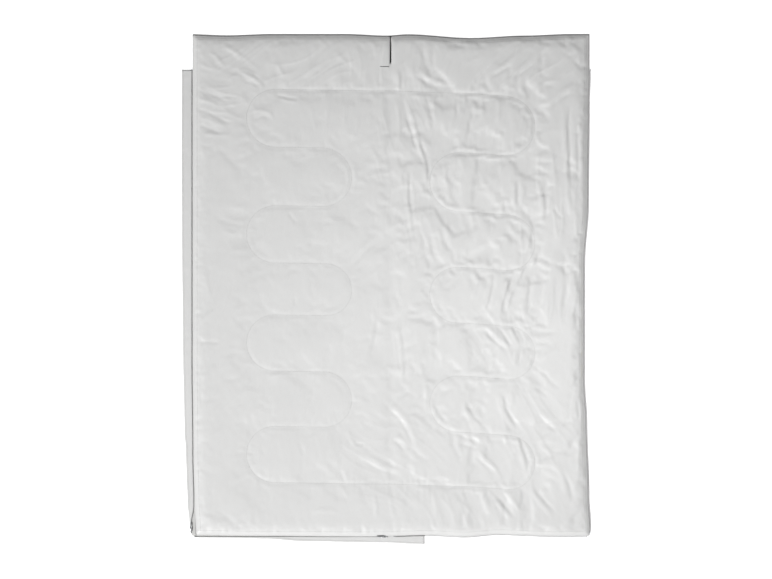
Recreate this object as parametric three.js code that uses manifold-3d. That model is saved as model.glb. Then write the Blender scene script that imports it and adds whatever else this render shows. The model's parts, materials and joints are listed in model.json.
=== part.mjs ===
// Infrared sauna blanket: a zipped envelope of two padded, electrically heated halves, joined along a fold
// line and lying open and flat on the floor with its lining up.
//
// Millimetres. X runs across the blanket, Y runs towards the head end and Z is up, with the floor at z = 0.
// The origin is under the middle of everything. "u" is the distance from the fold line, and "side" is -1 for
// the back half, which stays on the floor, and +1 for the cover half, which folds over it.
import * as THREE from "three";
import { mergeVertices } from "three/addons/utils/BufferGeometryUtils.js";
import Module from "manifold-3d";

// ---- Driving dimensions ----

const HALF_WIDTH = 750; // fold line to zip edge
const LENGTH = 1890; // head edge to foot edge
const GAP = 0.3; // clearance between touching pieces

// Fabric layers, from the floor up.
const FABRIC_T = 0.8; // outer shell and lining
const FOIL_T = 0.2;
const INSULATION_T = 5;
const CARRIER_T = 2;
const WIRE_D = 2.4;
const WIRE_SPACE = 4; // height kept for the wires, leads and cut-outs
const WADDING_T = 4;
const FILM_T = 0.2;
const FOLD_RISE = 1.7; // fold axis above the lining, so that the puffed linings meet without pressing

// Plan sizes.
const SEAM_BAND = 26; // flat sewn band round the padding
const PAD_GAP = 3; // padding to seam band
const PAD_FOLD_GAP = 10; // padding to fold line
const PAD_CORNER_R = 20;
const SLIT_LENGTH = 120; // neck slit at the head end of the fold line
const SLIT_HALF = 4;
const BINDING_T = 0.8;
const BAR_TACK = [34, 3, 0.7]; // stitched bar beside the foot of the slit

// Heating wire: one loop of eight rows in each half.
const ROWS = 8;
const HEAD_MARGIN = 213; // head edge to first row
const FOOT_MARGIN = 196; // last row to foot edge
const FOLD_MARGIN = 147; // fold line to the inner turns
const EDGE_MARGIN = 207; // outer turns to zip edge
const WIRE_SIDES = 8;
const LEAD_BEND = 15;
const LEAD_SPREAD = 20; // each supply lead to the middle of the inlet
const CUTOUT = [20, 8, 3.2]; // thermal cut-out
const SENSOR = [8, 5, 3.2];
const SENSOR_REACH = 60; // beyond the last row

// Zips.
const TAPE_W = 18;
const TAPE_T = 0.8;
const COIL_W = 4;
const COIL_T = 2.4;
const ZIP_INSET = 10; // corner or fold line to the end of a zip
const ZIP_BOX_L = 8;
const STOP_L = 4;
const STOP_OVER = 0.6; // how much a stop or a box is larger than the coil, each way
const PIN_W = 2.4; // insertion pin of the cover's rows
const SLIDER_L = 17;
const SLIDER_IN = 4; // slider plate inside the edge
const PLATE_T = 0.9;
const SLIDER_WALL = 1.4;
const CROWN = [7, 1.6, 1]; // bridge that holds the pull tab
const TAB = [24, 5, 1.2];
const TAB_EYE = [4.4, 2.4];
const TAB_BAR = 1.4; // end bar of the eye, which turns under the crown

// Zip guard: an L-shaped flap under the side and foot edges of the back half.
const GUARD_T = 0.8;
const GUARD_SIDE = 40; // beyond the side edge
const GUARD_FOOT = 32; // beyond the foot edge
const GUARD_TUCK = 22; // under the panel
const GUARD_START = 132; // head edge to its upper end, and to the top of the side zip
const GUARD_TAIL = 128; // past the fold line
const GUARD_CORNER_R = 40;

// Power inlet, set in the cover's outer shell.
const INLET_FROM_FOOT = 90;
const INLET_WELL = [26, 14]; // clear size of the socket
const INLET_WALL = 1.5;
const INLET_FLANGE = 6;
const INLET_FLANGE_T = 1.4;
const INLET_BACK_T = 2.4;
const GASKET_T = 0.8;
const PIN_D = 2.4;
const PIN_PITCH = 8;
const PIN_SETBACK = 4.6; // pin tips to the mouth

// How far the hinged pieces turn, in degrees. The closed cover is level to within a tenth of a degree.
const COVER_TURN = 179.9;
const TAB_TURN = 180;

// ---- Levels and places that follow from them ----

const FOIL_Z = FABRIC_T + GAP;
const INSULATION_Z = FOIL_Z + FOIL_T + GAP;
const CARRIER_Z = INSULATION_Z + INSULATION_T + GAP;
const WIRE_FLOOR = CARRIER_Z + CARRIER_T + GAP;
const WIRE_Z = WIRE_FLOOR + WIRE_D / 2;
const WADDING_Z = WIRE_FLOOR + WIRE_SPACE;
const FILM_Z = WADDING_Z + WADDING_T + GAP;
const LINING_Z = FILM_Z + FILM_T + GAP;
const TOP_Z = LINING_Z + FABRIC_T;

const SLIDER_Z = GUARD_T + GAP;
const EDGE_SHELL_Z = SLIDER_Z + PLATE_T + GAP;
const TAPE_Z = EDGE_SHELL_Z + FABRIC_T + GAP;
const EDGE_LINING_Z = TAPE_Z + TAPE_T + GAP;
const SLIDER_TOP_Z = EDGE_LINING_Z + FABRIC_T + GAP;
const COIL_Z = TAPE_Z + (TAPE_T - COIL_T) / 2;

const COIL_OUT = GAP + COIL_W; // outer face of a coil, past the edge
const SLIDER_OUT = COIL_OUT + GAP + SLIDER_WALL;

const FOLD_X = (GUARD_SIDE - COIL_OUT - STOP_OVER) / 2; // so that the whole blanket is centred on x = 0
const HEAD = (LENGTH + GUARD_FOOT) / 2;
const FOOT = HEAD - LENGTH;
const SLIT_FOOT = HEAD - SLIT_LENGTH;
const FOLD_EDGE = SLIT_HALF + BINDING_T + GAP; // where the cloth of each half starts
const ZIP_TOP = HEAD - GUARD_START;

const ROW_PITCH = (LENGTH - HEAD_MARGIN - FOOT_MARGIN) / (ROWS - 1);
const TURN_R = ROW_PITCH / 2;
const COLUMN_U = (FOLD_MARGIN + HALF_WIDTH - EDGE_MARGIN) / 2;
const INNER_TURN_U = FOLD_MARGIN + TURN_R;
const OUTER_TURN_U = HALF_WIDTH - EDGE_MARGIN - TURN_R;
const LAST_ROW = ROWS - 1;
const INLET_Y = FOOT + INLET_FROM_FOOT;
const INLET_BODY = INLET_WELL.map((size) => size + 2 * INLET_WALL);
const INLET_TOP_Z = WADDING_Z - GAP;

const acrossX = (side, u) => FOLD_X + side * u;
const rowY = (row) => HEAD - HEAD_MARGIN - row * ROW_PITCH;

// ---- Materials ----

function finish(color, roughness, metalness = 0) {
  return new THREE.MeshStandardMaterial({ color, roughness, metalness });
}
const SATIN = finish(0xd6d6d4, 0.45);
const SHELL_CLOTH = finish(0x2c2d30, 0.75);
const FOIL = finish(0xc9ccd0, 0.25, 0.9);
const FELT = finish(0xe6e2d8, 0.95);
const CARRIER = finish(0xb9b4a8, 0.95);
const FILM = finish(0xe9eef0, 0.3);
const WIRE_SHEATH = finish(0xb5452f, 0.5);
const LEAD_SHEATH = finish(0x3a3a3c, 0.5);
const TAPE_CLOTH = finish(0xc3c3c2, 0.8);
const NYLON = finish(0xbababa, 0.4);
const ZINC = finish(0x9a9b9c, 0.35, 0.9);
const MOULDING = finish(0x232426, 0.5);
const GASKET_RUBBER = finish(0x161616, 0.8);
const BRASS = finish(0xc9a24b, 0.3, 0.9);

// ---- Solids ----

const wasm = await Module();
wasm.setup();

function toSolid(geometry) {
  const bare = geometry.clone();
  bare.deleteAttribute("normal");
  bare.deleteAttribute("uv");
  const merged = mergeVertices(bare, 1e-4);
  return new wasm.Manifold(
    new wasm.Mesh({
      numProp: 3,
      vertProperties: new Float32Array(merged.attributes.position.array),
      triVerts: new Uint32Array(merged.index.array),
    }),
  );
}

function toGeometry(solid) {
  const mesh = solid.getMesh();
  const geometry = new THREE.BufferGeometry();
  geometry.setAttribute("position", new THREE.BufferAttribute(mesh.vertProperties, 3));
  geometry.setIndex(new THREE.BufferAttribute(mesh.triVerts, 1));
  geometry.computeVertexNormals();
  return geometry;
}

function join(...parts) {
  return toGeometry(parts.map(toSolid).reduce((whole, part) => whole.add(part)));
}

function cut(body, ...tools) {
  return toGeometry(tools.map(toSolid).reduce((whole, tool) => whole.subtract(tool), toSolid(body)));
}

function box(x0, x1, y0, y1, z0, z1) {
  const geometry = new THREE.BoxGeometry(Math.abs(x1 - x0), Math.abs(y1 - y0), Math.abs(z1 - z0));
  return geometry.translate((x0 + x1) / 2, (y0 + y1) / 2, (z0 + z1) / 2);
}

function plate(shape, z0, z1) {
  const depth = z1 - z0;
  const geometry = new THREE.ExtrudeGeometry(shape, { depth, bevelEnabled: false, curveSegments: 5 });
  return geometry.translate(0, 0, z0);
}

function roundedRectangle(x0, x1, y0, y1, radius) {
  const [left, right] = [Math.min(x0, x1), Math.max(x0, x1)];
  const shape = new THREE.Shape();
  shape.moveTo(left + radius, y0);
  shape.lineTo(right - radius, y0);
  shape.absarc(right - radius, y0 + radius, radius, -Math.PI / 2, 0, false);
  shape.lineTo(right, y1 - radius);
  shape.absarc(right - radius, y1 - radius, radius, 0, Math.PI / 2, false);
  shape.lineTo(left + radius, y1);
  shape.absarc(left + radius, y1 - radius, radius, Math.PI / 2, Math.PI, false);
  shape.lineTo(left, y0 + radius);
  shape.absarc(left + radius, y0 + radius, radius, Math.PI, 1.5 * Math.PI, false);
  return shape;
}

// A box along one edge of a half. "along" is y on the side edge and u on the foot edge, and "out" is the
// distance beyond that edge.
function edgeBox(side, edge, along, out, z0, z1) {
  if (edge === "side") {
    const x = out.map((distance) => acrossX(side, HALF_WIDTH + distance));
    return box(x[0], x[1], along[0], along[1], z0, z1);
  }
  return box(acrossX(side, along[0]), acrossX(side, along[1]), FOOT - out[0], FOOT - out[1], z0, z1);
}

const blanket = new THREE.Group();

function add(name, geometry, material, parent = blanket) {
  const mesh = new THREE.Mesh(geometry, material);
  mesh.name = name;
  parent.add(mesh);
  return mesh;
}

// ---- Fabric panels ----

// One half as a plain slab, drawn in from its three sewn edges.
function halfSlab(side, inset, z0, z1, foldU = FOLD_EDGE) {
  return box(acrossX(side, foldU), acrossX(side, HALF_WIDTH - inset), FOOT + inset, HEAD - inset, z0, z1);
}

// A panel of cloth whose middle lies at one level and whose sewn band lies at another, with a short wall
// between them. Its fold side is open, because the cloth runs on into the fold strip there.
function dishedPanel(side, middleZ, bandZ) {
  const low = Math.min(middleZ, bandZ);
  const high = Math.max(middleZ, bandZ) + FABRIC_T;
  const past = FOLD_EDGE - SEAM_BAND;
  const inside = halfSlab(side, SEAM_BAND, low - 1, high + 1, past);
  return join(
    halfSlab(side, SEAM_BAND - FABRIC_T, middleZ, middleZ + FABRIC_T),
    cut(halfSlab(side, SEAM_BAND - FABRIC_T, low, high), inside),
    cut(halfSlab(side, 0, bandZ, bandZ + FABRIC_T), inside),
  );
}

// The narrow strip of the same cloth along the fold line, from the foot edge up to the slit. It bends when
// the cover turns.
function foldStrip(middleZ, bandZ) {
  const reach = FOLD_EDGE - GAP;
  const across = [acrossX(-1, reach), acrossX(1, reach)];
  const low = Math.min(middleZ, bandZ);
  const high = Math.max(middleZ, bandZ) + FABRIC_T;
  const rise = FOOT + SEAM_BAND;
  return join(
    box(...across, rise - FABRIC_T, SLIT_FOOT - GAP, middleZ, middleZ + FABRIC_T),
    box(...across, rise - FABRIC_T, rise, low, high),
    box(...across, FOOT, rise, bandZ, bandZ + FABRIC_T),
  );
}
add("fold_shell_strip", foldStrip(0, EDGE_SHELL_Z), SHELL_CLOTH);
add("fold_lining_strip", foldStrip(LINING_Z, EDGE_LINING_Z), SATIN);

// A pad that fills one half inside its seam band.
function pad(side, z, thickness) {
  const outline = roundedRectangle(
    acrossX(side, PAD_FOLD_GAP),
    acrossX(side, HALF_WIDTH - SEAM_BAND - PAD_GAP),
    FOOT + SEAM_BAND + PAD_GAP,
    HEAD - SEAM_BAND - PAD_GAP,
    PAD_CORNER_R,
  );
  return plate(outline, z, z + thickness);
}

// The hole that the power inlet takes through a layer of the cover half.
function inletHole(grow) {
  const half = INLET_BODY.map((size) => size / 2 + grow);
  const x = acrossX(1, COLUMN_U);
  return box(x - half[0], x + half[0], INLET_Y - half[1], INLET_Y + half[1], -1, WADDING_Z);
}

for (const [half, side] of [["back", -1], ["cover", 1]]) {
  const body = GAP;
  const flange = INLET_FLANGE + GAP;
  const pierced = (geometry, grow) => (side > 0 ? cut(geometry, inletHole(grow)) : geometry);
  add(`${half}_outer_shell`, pierced(dishedPanel(side, 0, EDGE_SHELL_Z), body), SHELL_CLOTH);
  add(`${half}_reflective_foil`, pierced(pad(side, FOIL_Z, FOIL_T), flange), FOIL);
  add(`${half}_insulation_felt`, pierced(pad(side, INSULATION_Z, INSULATION_T), flange), FELT);
  add(`${half}_heater_carrier`, pierced(pad(side, CARRIER_Z, CARRIER_T), body), CARRIER);
  add(`${half}_comfort_wadding`, pad(side, WADDING_Z, WADDING_T), FELT);
  add(`${half}_moisture_film`, pad(side, FILM_Z, FILM_T), FILM);
  add(`${half}_lining`, dishedPanel(side, LINING_Z, EDGE_LINING_Z), SATIN);
}

// ---- Neck slit ----

// A strip of shell cloth closes each side of the slit, over the full depth of the padding and on to the edge.
function slitBinding(side) {
  const faces = [SLIT_HALF, SLIT_HALF + BINDING_T].map((u) => acrossX(side, u));
  return join(
    box(...faces, SLIT_FOOT, HEAD - SEAM_BAND, 0, TOP_Z),
    box(...faces, SLIT_FOOT, HEAD, EDGE_SHELL_Z, EDGE_LINING_Z + FABRIC_T),
  );
}
add("back_slit_binding", slitBinding(-1), SHELL_CLOTH);
add("cover_slit_binding", slitBinding(1), SHELL_CLOTH);
add(
  "slit_bar_tack",
  box(
    acrossX(-1, FOLD_EDGE),
    acrossX(-1, FOLD_EDGE + BAR_TACK[0]),
    SLIT_FOOT - BAR_TACK[1],
    SLIT_FOOT,
    TOP_Z + GAP,
    TOP_Z + GAP + BAR_TACK[2],
  ),
  SHELL_CLOTH,
);

// ---- Heating wire and leads ----

// A flat route at one height, made of straight runs and arcs.
class FlatRun extends THREE.Curve {
  constructor(path, z) {
    super();
    this.path = path;
    this.z = z;
  }
  getPoint(t, target = new THREE.Vector3()) {
    const point = this.path.getPoint(t);
    return target.set(point.x, point.y, this.z);
  }
}

function wireAlong(path, stepLength) {
  const section = new THREE.Shape();
  for (let i = 0; i < WIRE_SIDES; i++) {
    const angle = ((i + 0.5) / WIRE_SIDES) * 2 * Math.PI;
    const point = [(WIRE_D / 2) * Math.cos(angle), (WIRE_D / 2) * Math.sin(angle)];
    if (i === 0) section.moveTo(...point);
    else section.lineTo(...point);
  }
  section.closePath();
  const steps = Math.max(6, Math.round(path.getLength() / stepLength));
  return new THREE.ExtrudeGeometry(section, { steps, extrudePath: new FlatRun(path, WIRE_Z) });
}

// The wire from one place on a row to a place on a later row. Even rows run outwards and end in an outer
// turn, and odd rows run back and end in an inner turn.
function heaterRun(side, firstRow, firstU, lastRow, lastU) {
  const path = new THREE.Path();
  path.moveTo(acrossX(side, firstU), rowY(firstRow));
  for (let row = firstRow; row < lastRow; row++) {
    const outwards = row % 2 === 0;
    const turnX = acrossX(side, outwards ? OUTER_TURN_U : INNER_TURN_U);
    const clockwise = outwards ? side > 0 : side < 0;
    path.lineTo(turnX, rowY(row));
    const endAngle = clockwise ? -Math.PI / 2 : 1.5 * Math.PI;
    path.absarc(turnX, rowY(row) - TURN_R, TURN_R, Math.PI / 2, endAngle, clockwise);
  }
  path.lineTo(acrossX(side, lastU), rowY(lastRow));
  return path;
}

function layBlock(x, y, [width, length, height]) {
  const top = WIRE_FLOOR + height;
  return box(x - width / 2, x + width / 2, y - length / 2, y + length / 2, WIRE_FLOOR, top);
}

const WIRE_STEP = 34;
const LEAD_STEP = 6;
const CUTOUT_END = CUTOUT[0] / 2 + GAP;
const LIMITER_ROW = 3;

add(
  "back_heating_wire_upper",
  wireAlong(heaterRun(-1, 0, GAP / 2, LIMITER_ROW, COLUMN_U + CUTOUT_END), WIRE_STEP),
  WIRE_SHEATH,
);
add("back_thermal_limiter", layBlock(acrossX(-1, COLUMN_U), rowY(LIMITER_ROW), CUTOUT), MOULDING);
add(
  "back_heating_wire_lower",
  wireAlong(heaterRun(-1, LIMITER_ROW, COLUMN_U - CUTOUT_END, LAST_ROW, GAP / 2), WIRE_STEP),
  WIRE_SHEATH,
);

const SUPPLY_U = COLUMN_U + LEAD_SPREAD;
const RETURN_U = COLUMN_U - LEAD_SPREAD / 2 - LEAD_BEND / 2;
const CUTOUT_U = SUPPLY_U + LEAD_BEND + CUTOUT_END;
const INLET_TOP_Y = INLET_Y + INLET_BODY[1] / 2 + GAP;

add(
  "cover_heating_wire",
  wireAlong(heaterRun(1, 0, GAP / 2, LAST_ROW, CUTOUT_U + CUTOUT_END), WIRE_STEP),
  WIRE_SHEATH,
);
add("cover_thermal_cutout", layBlock(acrossX(1, CUTOUT_U), rowY(LAST_ROW), CUTOUT), MOULDING);

// Each supply lead leaves the inlet towards the head and bends into the last row.
const inletLeadX = (offset) => acrossX(1, COLUMN_U + offset);
const INLET_LEAD_OFFSET = PIN_PITCH;

function supplyRoute() {
  const path = new THREE.Path();
  const rise = rowY(LAST_ROW) - LEAD_BEND;
  path.moveTo(inletLeadX(INLET_LEAD_OFFSET), INLET_TOP_Y);
  path.bezierCurveTo(
    inletLeadX(INLET_LEAD_OFFSET),
    INLET_TOP_Y + LEAD_BEND * 2,
    acrossX(1, SUPPLY_U),
    rise - LEAD_BEND * 2,
    acrossX(1, SUPPLY_U),
    rise,
  );
  path.absarc(acrossX(1, SUPPLY_U) + LEAD_BEND, rise, LEAD_BEND, Math.PI, Math.PI / 2, true);
  return path;
}

function returnRoute() {
  const path = new THREE.Path();
  const rise = rowY(LAST_ROW) - LEAD_BEND;
  path.moveTo(acrossX(1, GAP / 2), rowY(LAST_ROW));
  path.lineTo(acrossX(1, RETURN_U - LEAD_BEND), rowY(LAST_ROW));
  path.absarc(acrossX(1, RETURN_U) - LEAD_BEND, rise, LEAD_BEND, Math.PI / 2, 0, true);
  path.bezierCurveTo(
    acrossX(1, RETURN_U),
    rise - LEAD_BEND * 2,
    inletLeadX(-INLET_LEAD_OFFSET),
    INLET_TOP_Y + LEAD_BEND * 2,
    inletLeadX(-INLET_LEAD_OFFSET),
    INLET_TOP_Y,
  );
  return path;
}

function sensorRoute() {
  const path = new THREE.Path();
  path.moveTo(inletLeadX(0), INLET_TOP_Y);
  path.lineTo(inletLeadX(0), rowY(LAST_ROW) + SENSOR_REACH - SENSOR[0] / 2 - GAP);
  return path;
}

add("supply_lead", wireAlong(supplyRoute(), LEAD_STEP), LEAD_SHEATH);
add("return_lead", wireAlong(returnRoute(), LEAD_STEP), LEAD_SHEATH);
add("sensor_lead", wireAlong(sensorRoute(), LEAD_STEP * 4), LEAD_SHEATH);
add(
  "temperature_sensor",
  layBlock(inletLeadX(0), rowY(LAST_ROW) + SENSOR_REACH, [SENSOR[1], SENSOR[0], SENSOR[2]]),
  MOULDING,
);

// ---- Power inlet ----

// A moulded socket whose mouth is flush with the outer face of the cover and whose flange is clamped inside
// the shell on a rubber gasket.
function inletParts() {
  const x = acrossX(1, COLUMN_U);
  const block = (size, z0, z1) =>
    box(x - size[0] / 2, x + size[0] / 2, INLET_Y - size[1] / 2, INLET_Y + size[1] / 2, z0, z1);
  const flangeSize = INLET_BODY.map((size) => size + 2 * INLET_FLANGE);
  const gasketZ = FABRIC_T + GAP;
  const flangeZ = gasketZ + GASKET_T + GAP;
  const pinXs = [-1, 0, 1].map((step) => x + step * PIN_PITCH);
  const backZ = INLET_TOP_Z - INLET_BACK_T;
  const peg = (px, diameter, z0, z1) => {
    const geometry = new THREE.CylinderGeometry(diameter / 2, diameter / 2, z1 - z0, 12);
    return geometry.rotateX(Math.PI / 2).translate(px, INLET_Y, (z0 + z1) / 2);
  };
  const flange = block(flangeSize, flangeZ, flangeZ + INLET_FLANGE_T);
  const moulding = join(block(INLET_BODY, 0, INLET_TOP_Z), flange);
  const bores = pinXs.map((px) => peg(px, PIN_D + 2 * GAP, backZ - 1, INLET_TOP_Z + 1));
  add("inlet_housing", cut(moulding, block(INLET_WELL, -1, backZ), ...bores), MOULDING);
  const gasketHole = block(INLET_BODY.map((size) => size + 2 * GAP), 0, flangeZ);
  add("inlet_gasket", cut(block(flangeSize, gasketZ, gasketZ + GASKET_T), gasketHole), GASKET_RUBBER);
  pinXs.forEach((px, i) => add(`inlet_pin_${i + 1}`, peg(px, PIN_D, PIN_SETBACK, INLET_TOP_Z), BRASS));
}
inletParts();

// ---- Zips ----

// Where each zip runs: "start" is the end with the box, where the slider is parked.
const ZIP_RUNS = {
  side: { start: FOOT + ZIP_INSET, end: ZIP_TOP, tape: [FOOT + GAP, ZIP_TOP] },
  foot: { start: ZIP_INSET, end: HALF_WIDTH - ZIP_INSET, tape: [ZIP_INSET / 2, HALF_WIDTH - TAPE_W - GAP] },
};
const coilStart = (run) => run.start + ZIP_BOX_L + GAP;
const coilEnd = (run) => run.end - STOP_L - GAP;

for (const [half, side] of [["back", -1], ["cover", 1]]) {
  for (const [edge, run] of Object.entries(ZIP_RUNS)) {
    const coilTop = COIL_Z + COIL_T;
    const grown = [COIL_Z - STOP_OVER, coilTop + STOP_OVER];
    const boxOut = side < 0 ? COIL_OUT + STOP_OVER : GAP + PIN_W;
    const boxLevels = side < 0 ? grown : [COIL_Z, coilTop];
    const boxName = side < 0 ? "retainer_box" : "insertion_pin";
    const addPiece = (name, along, out, levels, material) => {
      add(`${half}_${edge}_zip_${name}`, edgeBox(side, edge, along, out, ...levels), material);
    };
    addPiece("tape", run.tape, [-TAPE_W, 0], [TAPE_Z, TAPE_Z + TAPE_T], TAPE_CLOTH);
    addPiece("coil", [coilStart(run), coilEnd(run)], [GAP, COIL_OUT], [COIL_Z, coilTop], NYLON);
    addPiece(boxName, [run.start, run.start + ZIP_BOX_L], [GAP, boxOut], boxLevels, ZINC);
    addPiece("top_stop", [run.end - STOP_L, run.end], [GAP, COIL_OUT + STOP_OVER], grown, ZINC);
  }
}

// A slider in its own frame: +X along its travel, +Y out from the edge, and z from the floor.
const CROWN_Z = SLIDER_TOP_Z + PLATE_T;
const TAB_BAR_R = Math.hypot(TAB_BAR / 2, TAB[2] / 2);
const TAB_PIVOT_Z = CROWN_Z + GAP + TAB_BAR_R;
const TAB_OUT = (SLIDER_OUT - SLIDER_IN) / 2;

function sliderBody() {
  const half = SLIDER_L / 2;
  const nose = SLIDER_L / 5;
  const outline = new THREE.Shape();
  outline.moveTo(-half, -SLIDER_IN + nose / 2);
  outline.lineTo(nose, -SLIDER_IN);
  outline.lineTo(half - nose / 2, -SLIDER_IN);
  outline.lineTo(half, -SLIDER_IN + nose / 2);
  outline.lineTo(half, SLIDER_OUT - nose / 2);
  outline.lineTo(half - nose / 2, SLIDER_OUT);
  outline.lineTo(-half, SLIDER_OUT);
  outline.closePath();
  const crownUnder = TAB_PIVOT_Z + TAB_BAR_R + GAP;
  const crownHalf = CROWN[0] / 2;
  const post = CROWN[2];
  const crownY = [TAB_OUT - CROWN[1] / 2, TAB_OUT + CROWN[1] / 2];
  const lap = PLATE_T / 2;
  return join(
    plate(outline, SLIDER_Z, SLIDER_Z + PLATE_T),
    plate(outline, SLIDER_TOP_Z, CROWN_Z),
    box(-half, half - nose, SLIDER_OUT - SLIDER_WALL, SLIDER_OUT, SLIDER_Z + lap, CROWN_Z - lap),
    box(-crownHalf, post - crownHalf, ...crownY, CROWN_Z - lap, crownUnder + CROWN[2]),
    box(crownHalf - post, crownHalf, ...crownY, CROWN_Z - lap, crownUnder + CROWN[2]),
    box(-crownHalf, crownHalf, ...crownY, crownUnder, crownUnder + CROWN[2]),
  );
}

// The pull tab lies forward along the travel, with its end bar under the crown.
function pullTab() {
  const outline = roundedRectangle(-TAB_BAR / 2, TAB[0], -TAB[1] / 2, TAB[1] / 2, TAB_BAR / 4);
  const eye = box(TAB_BAR / 2, TAB_BAR / 2 + TAB_EYE[0], -TAB_EYE[1] / 2, TAB_EYE[1] / 2, -TAB[2], TAB[2]);
  return cut(plate(outline, -TAB[2] / 2, TAB[2] / 2), eye);
}

function placeSlider(edge, x, y, turn) {
  const slider = new THREE.Group();
  slider.position.set(x, y, 0);
  slider.rotation.z = turn;
  blanket.add(slider);
  add(`${edge}_zip_slider`, sliderBody(), ZINC, slider);
  const tab = add(`${edge}_zip_pull_tab`, pullTab(), ZINC, slider);
  tab.position.set(0, TAB_OUT, TAB_PIVOT_Z);
}

const parked = (run) => coilStart(run) + GAP + SLIDER_L / 2;
placeSlider("side", acrossX(-1, HALF_WIDTH), parked(ZIP_RUNS.side), Math.PI / 2);
placeSlider("foot", acrossX(-1, parked(ZIP_RUNS.foot)), FOOT, Math.PI);

// ---- Zip guard ----

// One L-shaped flap on the floor, sewn under the back half and showing past its side and foot edges. Its
// tail runs on under the cover half.
function guardFlap() {
  const left = acrossX(-1, HALF_WIDTH + GUARD_SIDE);
  const inner = acrossX(-1, HALF_WIDTH - GUARD_TUCK);
  const bottom = FOOT - GUARD_FOOT;
  const cornerX = left + GUARD_CORNER_R;
  const cornerY = bottom + GUARD_CORNER_R;
  const tail = acrossX(1, GUARD_TAIL);
  const shape = new THREE.Shape();
  shape.moveTo(cornerX, bottom);
  shape.lineTo(tail, bottom);
  shape.lineTo(tail, FOOT + GUARD_TUCK);
  shape.lineTo(inner, FOOT + GUARD_TUCK);
  shape.lineTo(inner, ZIP_TOP);
  shape.lineTo(left, ZIP_TOP);
  shape.lineTo(left, cornerY);
  shape.absarc(cornerX, cornerY, GUARD_CORNER_R, Math.PI, 1.5 * Math.PI, false);
  return plate(shape, 0, GUARD_T);
}
add("zip_guard_flap", guardFlap(), SATIN);

// ---- Joints ----

// Where the moving pieces turn and slide. A pull tab flips right over, and a slider runs to its top stop.
const travel = (run) => coilEnd(run) - coilStart(run) - SLIDER_L - 2 * GAP;
const tabX = acrossX(-1, HALF_WIDTH + TAB_OUT);
const footX = acrossX(-1, parked(ZIP_RUNS.foot));
blanket.userData.joints = {
  cover_fold: { at: [FOLD_X, 0, TOP_Z + FOLD_RISE], axis: [0, -1, 0], range: [0, COVER_TURN] },
  side_zip_travel: { axis: [0, 1, 0], range: [0, travel(ZIP_RUNS.side)] },
  side_pull_tab_flip: {
    at: [tabX, parked(ZIP_RUNS.side), TAB_PIVOT_Z],
    axis: [1, 0, 0],
    range: [0, TAB_TURN],
  },
  foot_zip_travel: { axis: [-1, 0, 0], range: [0, travel(ZIP_RUNS.foot)] },
  foot_pull_tab_flip: { at: [footX, FOOT - TAB_OUT, TAB_PIVOT_Z], axis: [0, 1, 0], range: [0, TAB_TURN] },
};

export default blanket;
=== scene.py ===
import json
import math

import bmesh
import bpy
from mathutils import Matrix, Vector, noise
from mathutils.bvhtree import BVHTree
from mathutils.kdtree import KDTree


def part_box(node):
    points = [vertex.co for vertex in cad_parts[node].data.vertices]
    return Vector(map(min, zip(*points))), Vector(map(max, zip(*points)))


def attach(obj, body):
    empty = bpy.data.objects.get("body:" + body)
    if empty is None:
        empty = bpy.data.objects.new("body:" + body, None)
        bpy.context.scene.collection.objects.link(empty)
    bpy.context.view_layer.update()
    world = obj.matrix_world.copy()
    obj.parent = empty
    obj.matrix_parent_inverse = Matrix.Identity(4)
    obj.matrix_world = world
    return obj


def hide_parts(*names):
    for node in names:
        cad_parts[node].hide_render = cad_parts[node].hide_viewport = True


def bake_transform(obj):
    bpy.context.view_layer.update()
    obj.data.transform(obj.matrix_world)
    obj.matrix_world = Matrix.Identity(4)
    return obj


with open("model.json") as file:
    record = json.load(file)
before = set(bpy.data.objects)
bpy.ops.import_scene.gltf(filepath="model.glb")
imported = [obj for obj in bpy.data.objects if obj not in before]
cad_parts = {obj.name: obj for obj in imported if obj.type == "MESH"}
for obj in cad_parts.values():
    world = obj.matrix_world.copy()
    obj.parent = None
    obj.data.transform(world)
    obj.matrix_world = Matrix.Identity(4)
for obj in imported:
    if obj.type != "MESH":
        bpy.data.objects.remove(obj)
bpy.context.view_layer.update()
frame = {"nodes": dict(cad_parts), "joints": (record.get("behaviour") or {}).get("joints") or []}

scene = bpy.context.scene
bpy.ops.object.select_all(action="DESELECT")

# The view, the light and the floor. The blanket lies open on a white floor and is seen from straight above
# through a long lens, in soft light from the foot's left and from overhead.
CAMERA_HEIGHT = 9.0
VIEW_WIDTH = 2.912
SENSOR = 36.0
bpy.ops.object.camera_add(location=(0, 0, CAMERA_HEIGHT), rotation=(0, 0, 0))
scene.camera = bpy.context.object
scene.camera.data.sensor_width = SENSOR
scene.camera.data.lens = SENSOR * CAMERA_HEIGHT / VIEW_WIDTH
scene.view_settings.view_transform = "Standard"

SOFTBOXES = {
    "key_softbox": ((-6.0, -7.0, 9.0), 5.0, 1800),
    "right_softbox": ((0.9, -0.3, 1.6), 0.8, 7.5),
    "overhead_softbox": ((0.15, 0.0, 2.0), 1.2, 5),
}
LIGHT_AIM = Vector((0.1, -0.2, 0))
for name, (place, size, energy) in SOFTBOXES.items():
    bpy.ops.object.light_add(type="AREA", location=place)
    softbox = bpy.context.object
    softbox.name = name
    softbox.data.shape = "DISK"
    softbox.data.size = size
    softbox.data.energy = energy
    softbox.rotation_euler = (LIGHT_AIM - Vector(place)).to_track_quat("-Z", "Y").to_euler()

surround = bpy.data.worlds.new("pale_surround")
scene.world = surround
surround.use_nodes = True
surround_light = surround.node_tree.nodes["Background"]
surround_light.inputs["Color"].default_value = (1, 1, 1, 1)
surround_light.inputs["Strength"].default_value = 0.07

FLOOR_SIZE, FLOOR_BELOW = 80, -0.0004
bpy.ops.mesh.primitive_plane_add(size=FLOOR_SIZE, location=(0, 0, FLOOR_BELOW))
floor = bpy.context.object
floor.name = "studio_floor"


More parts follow.
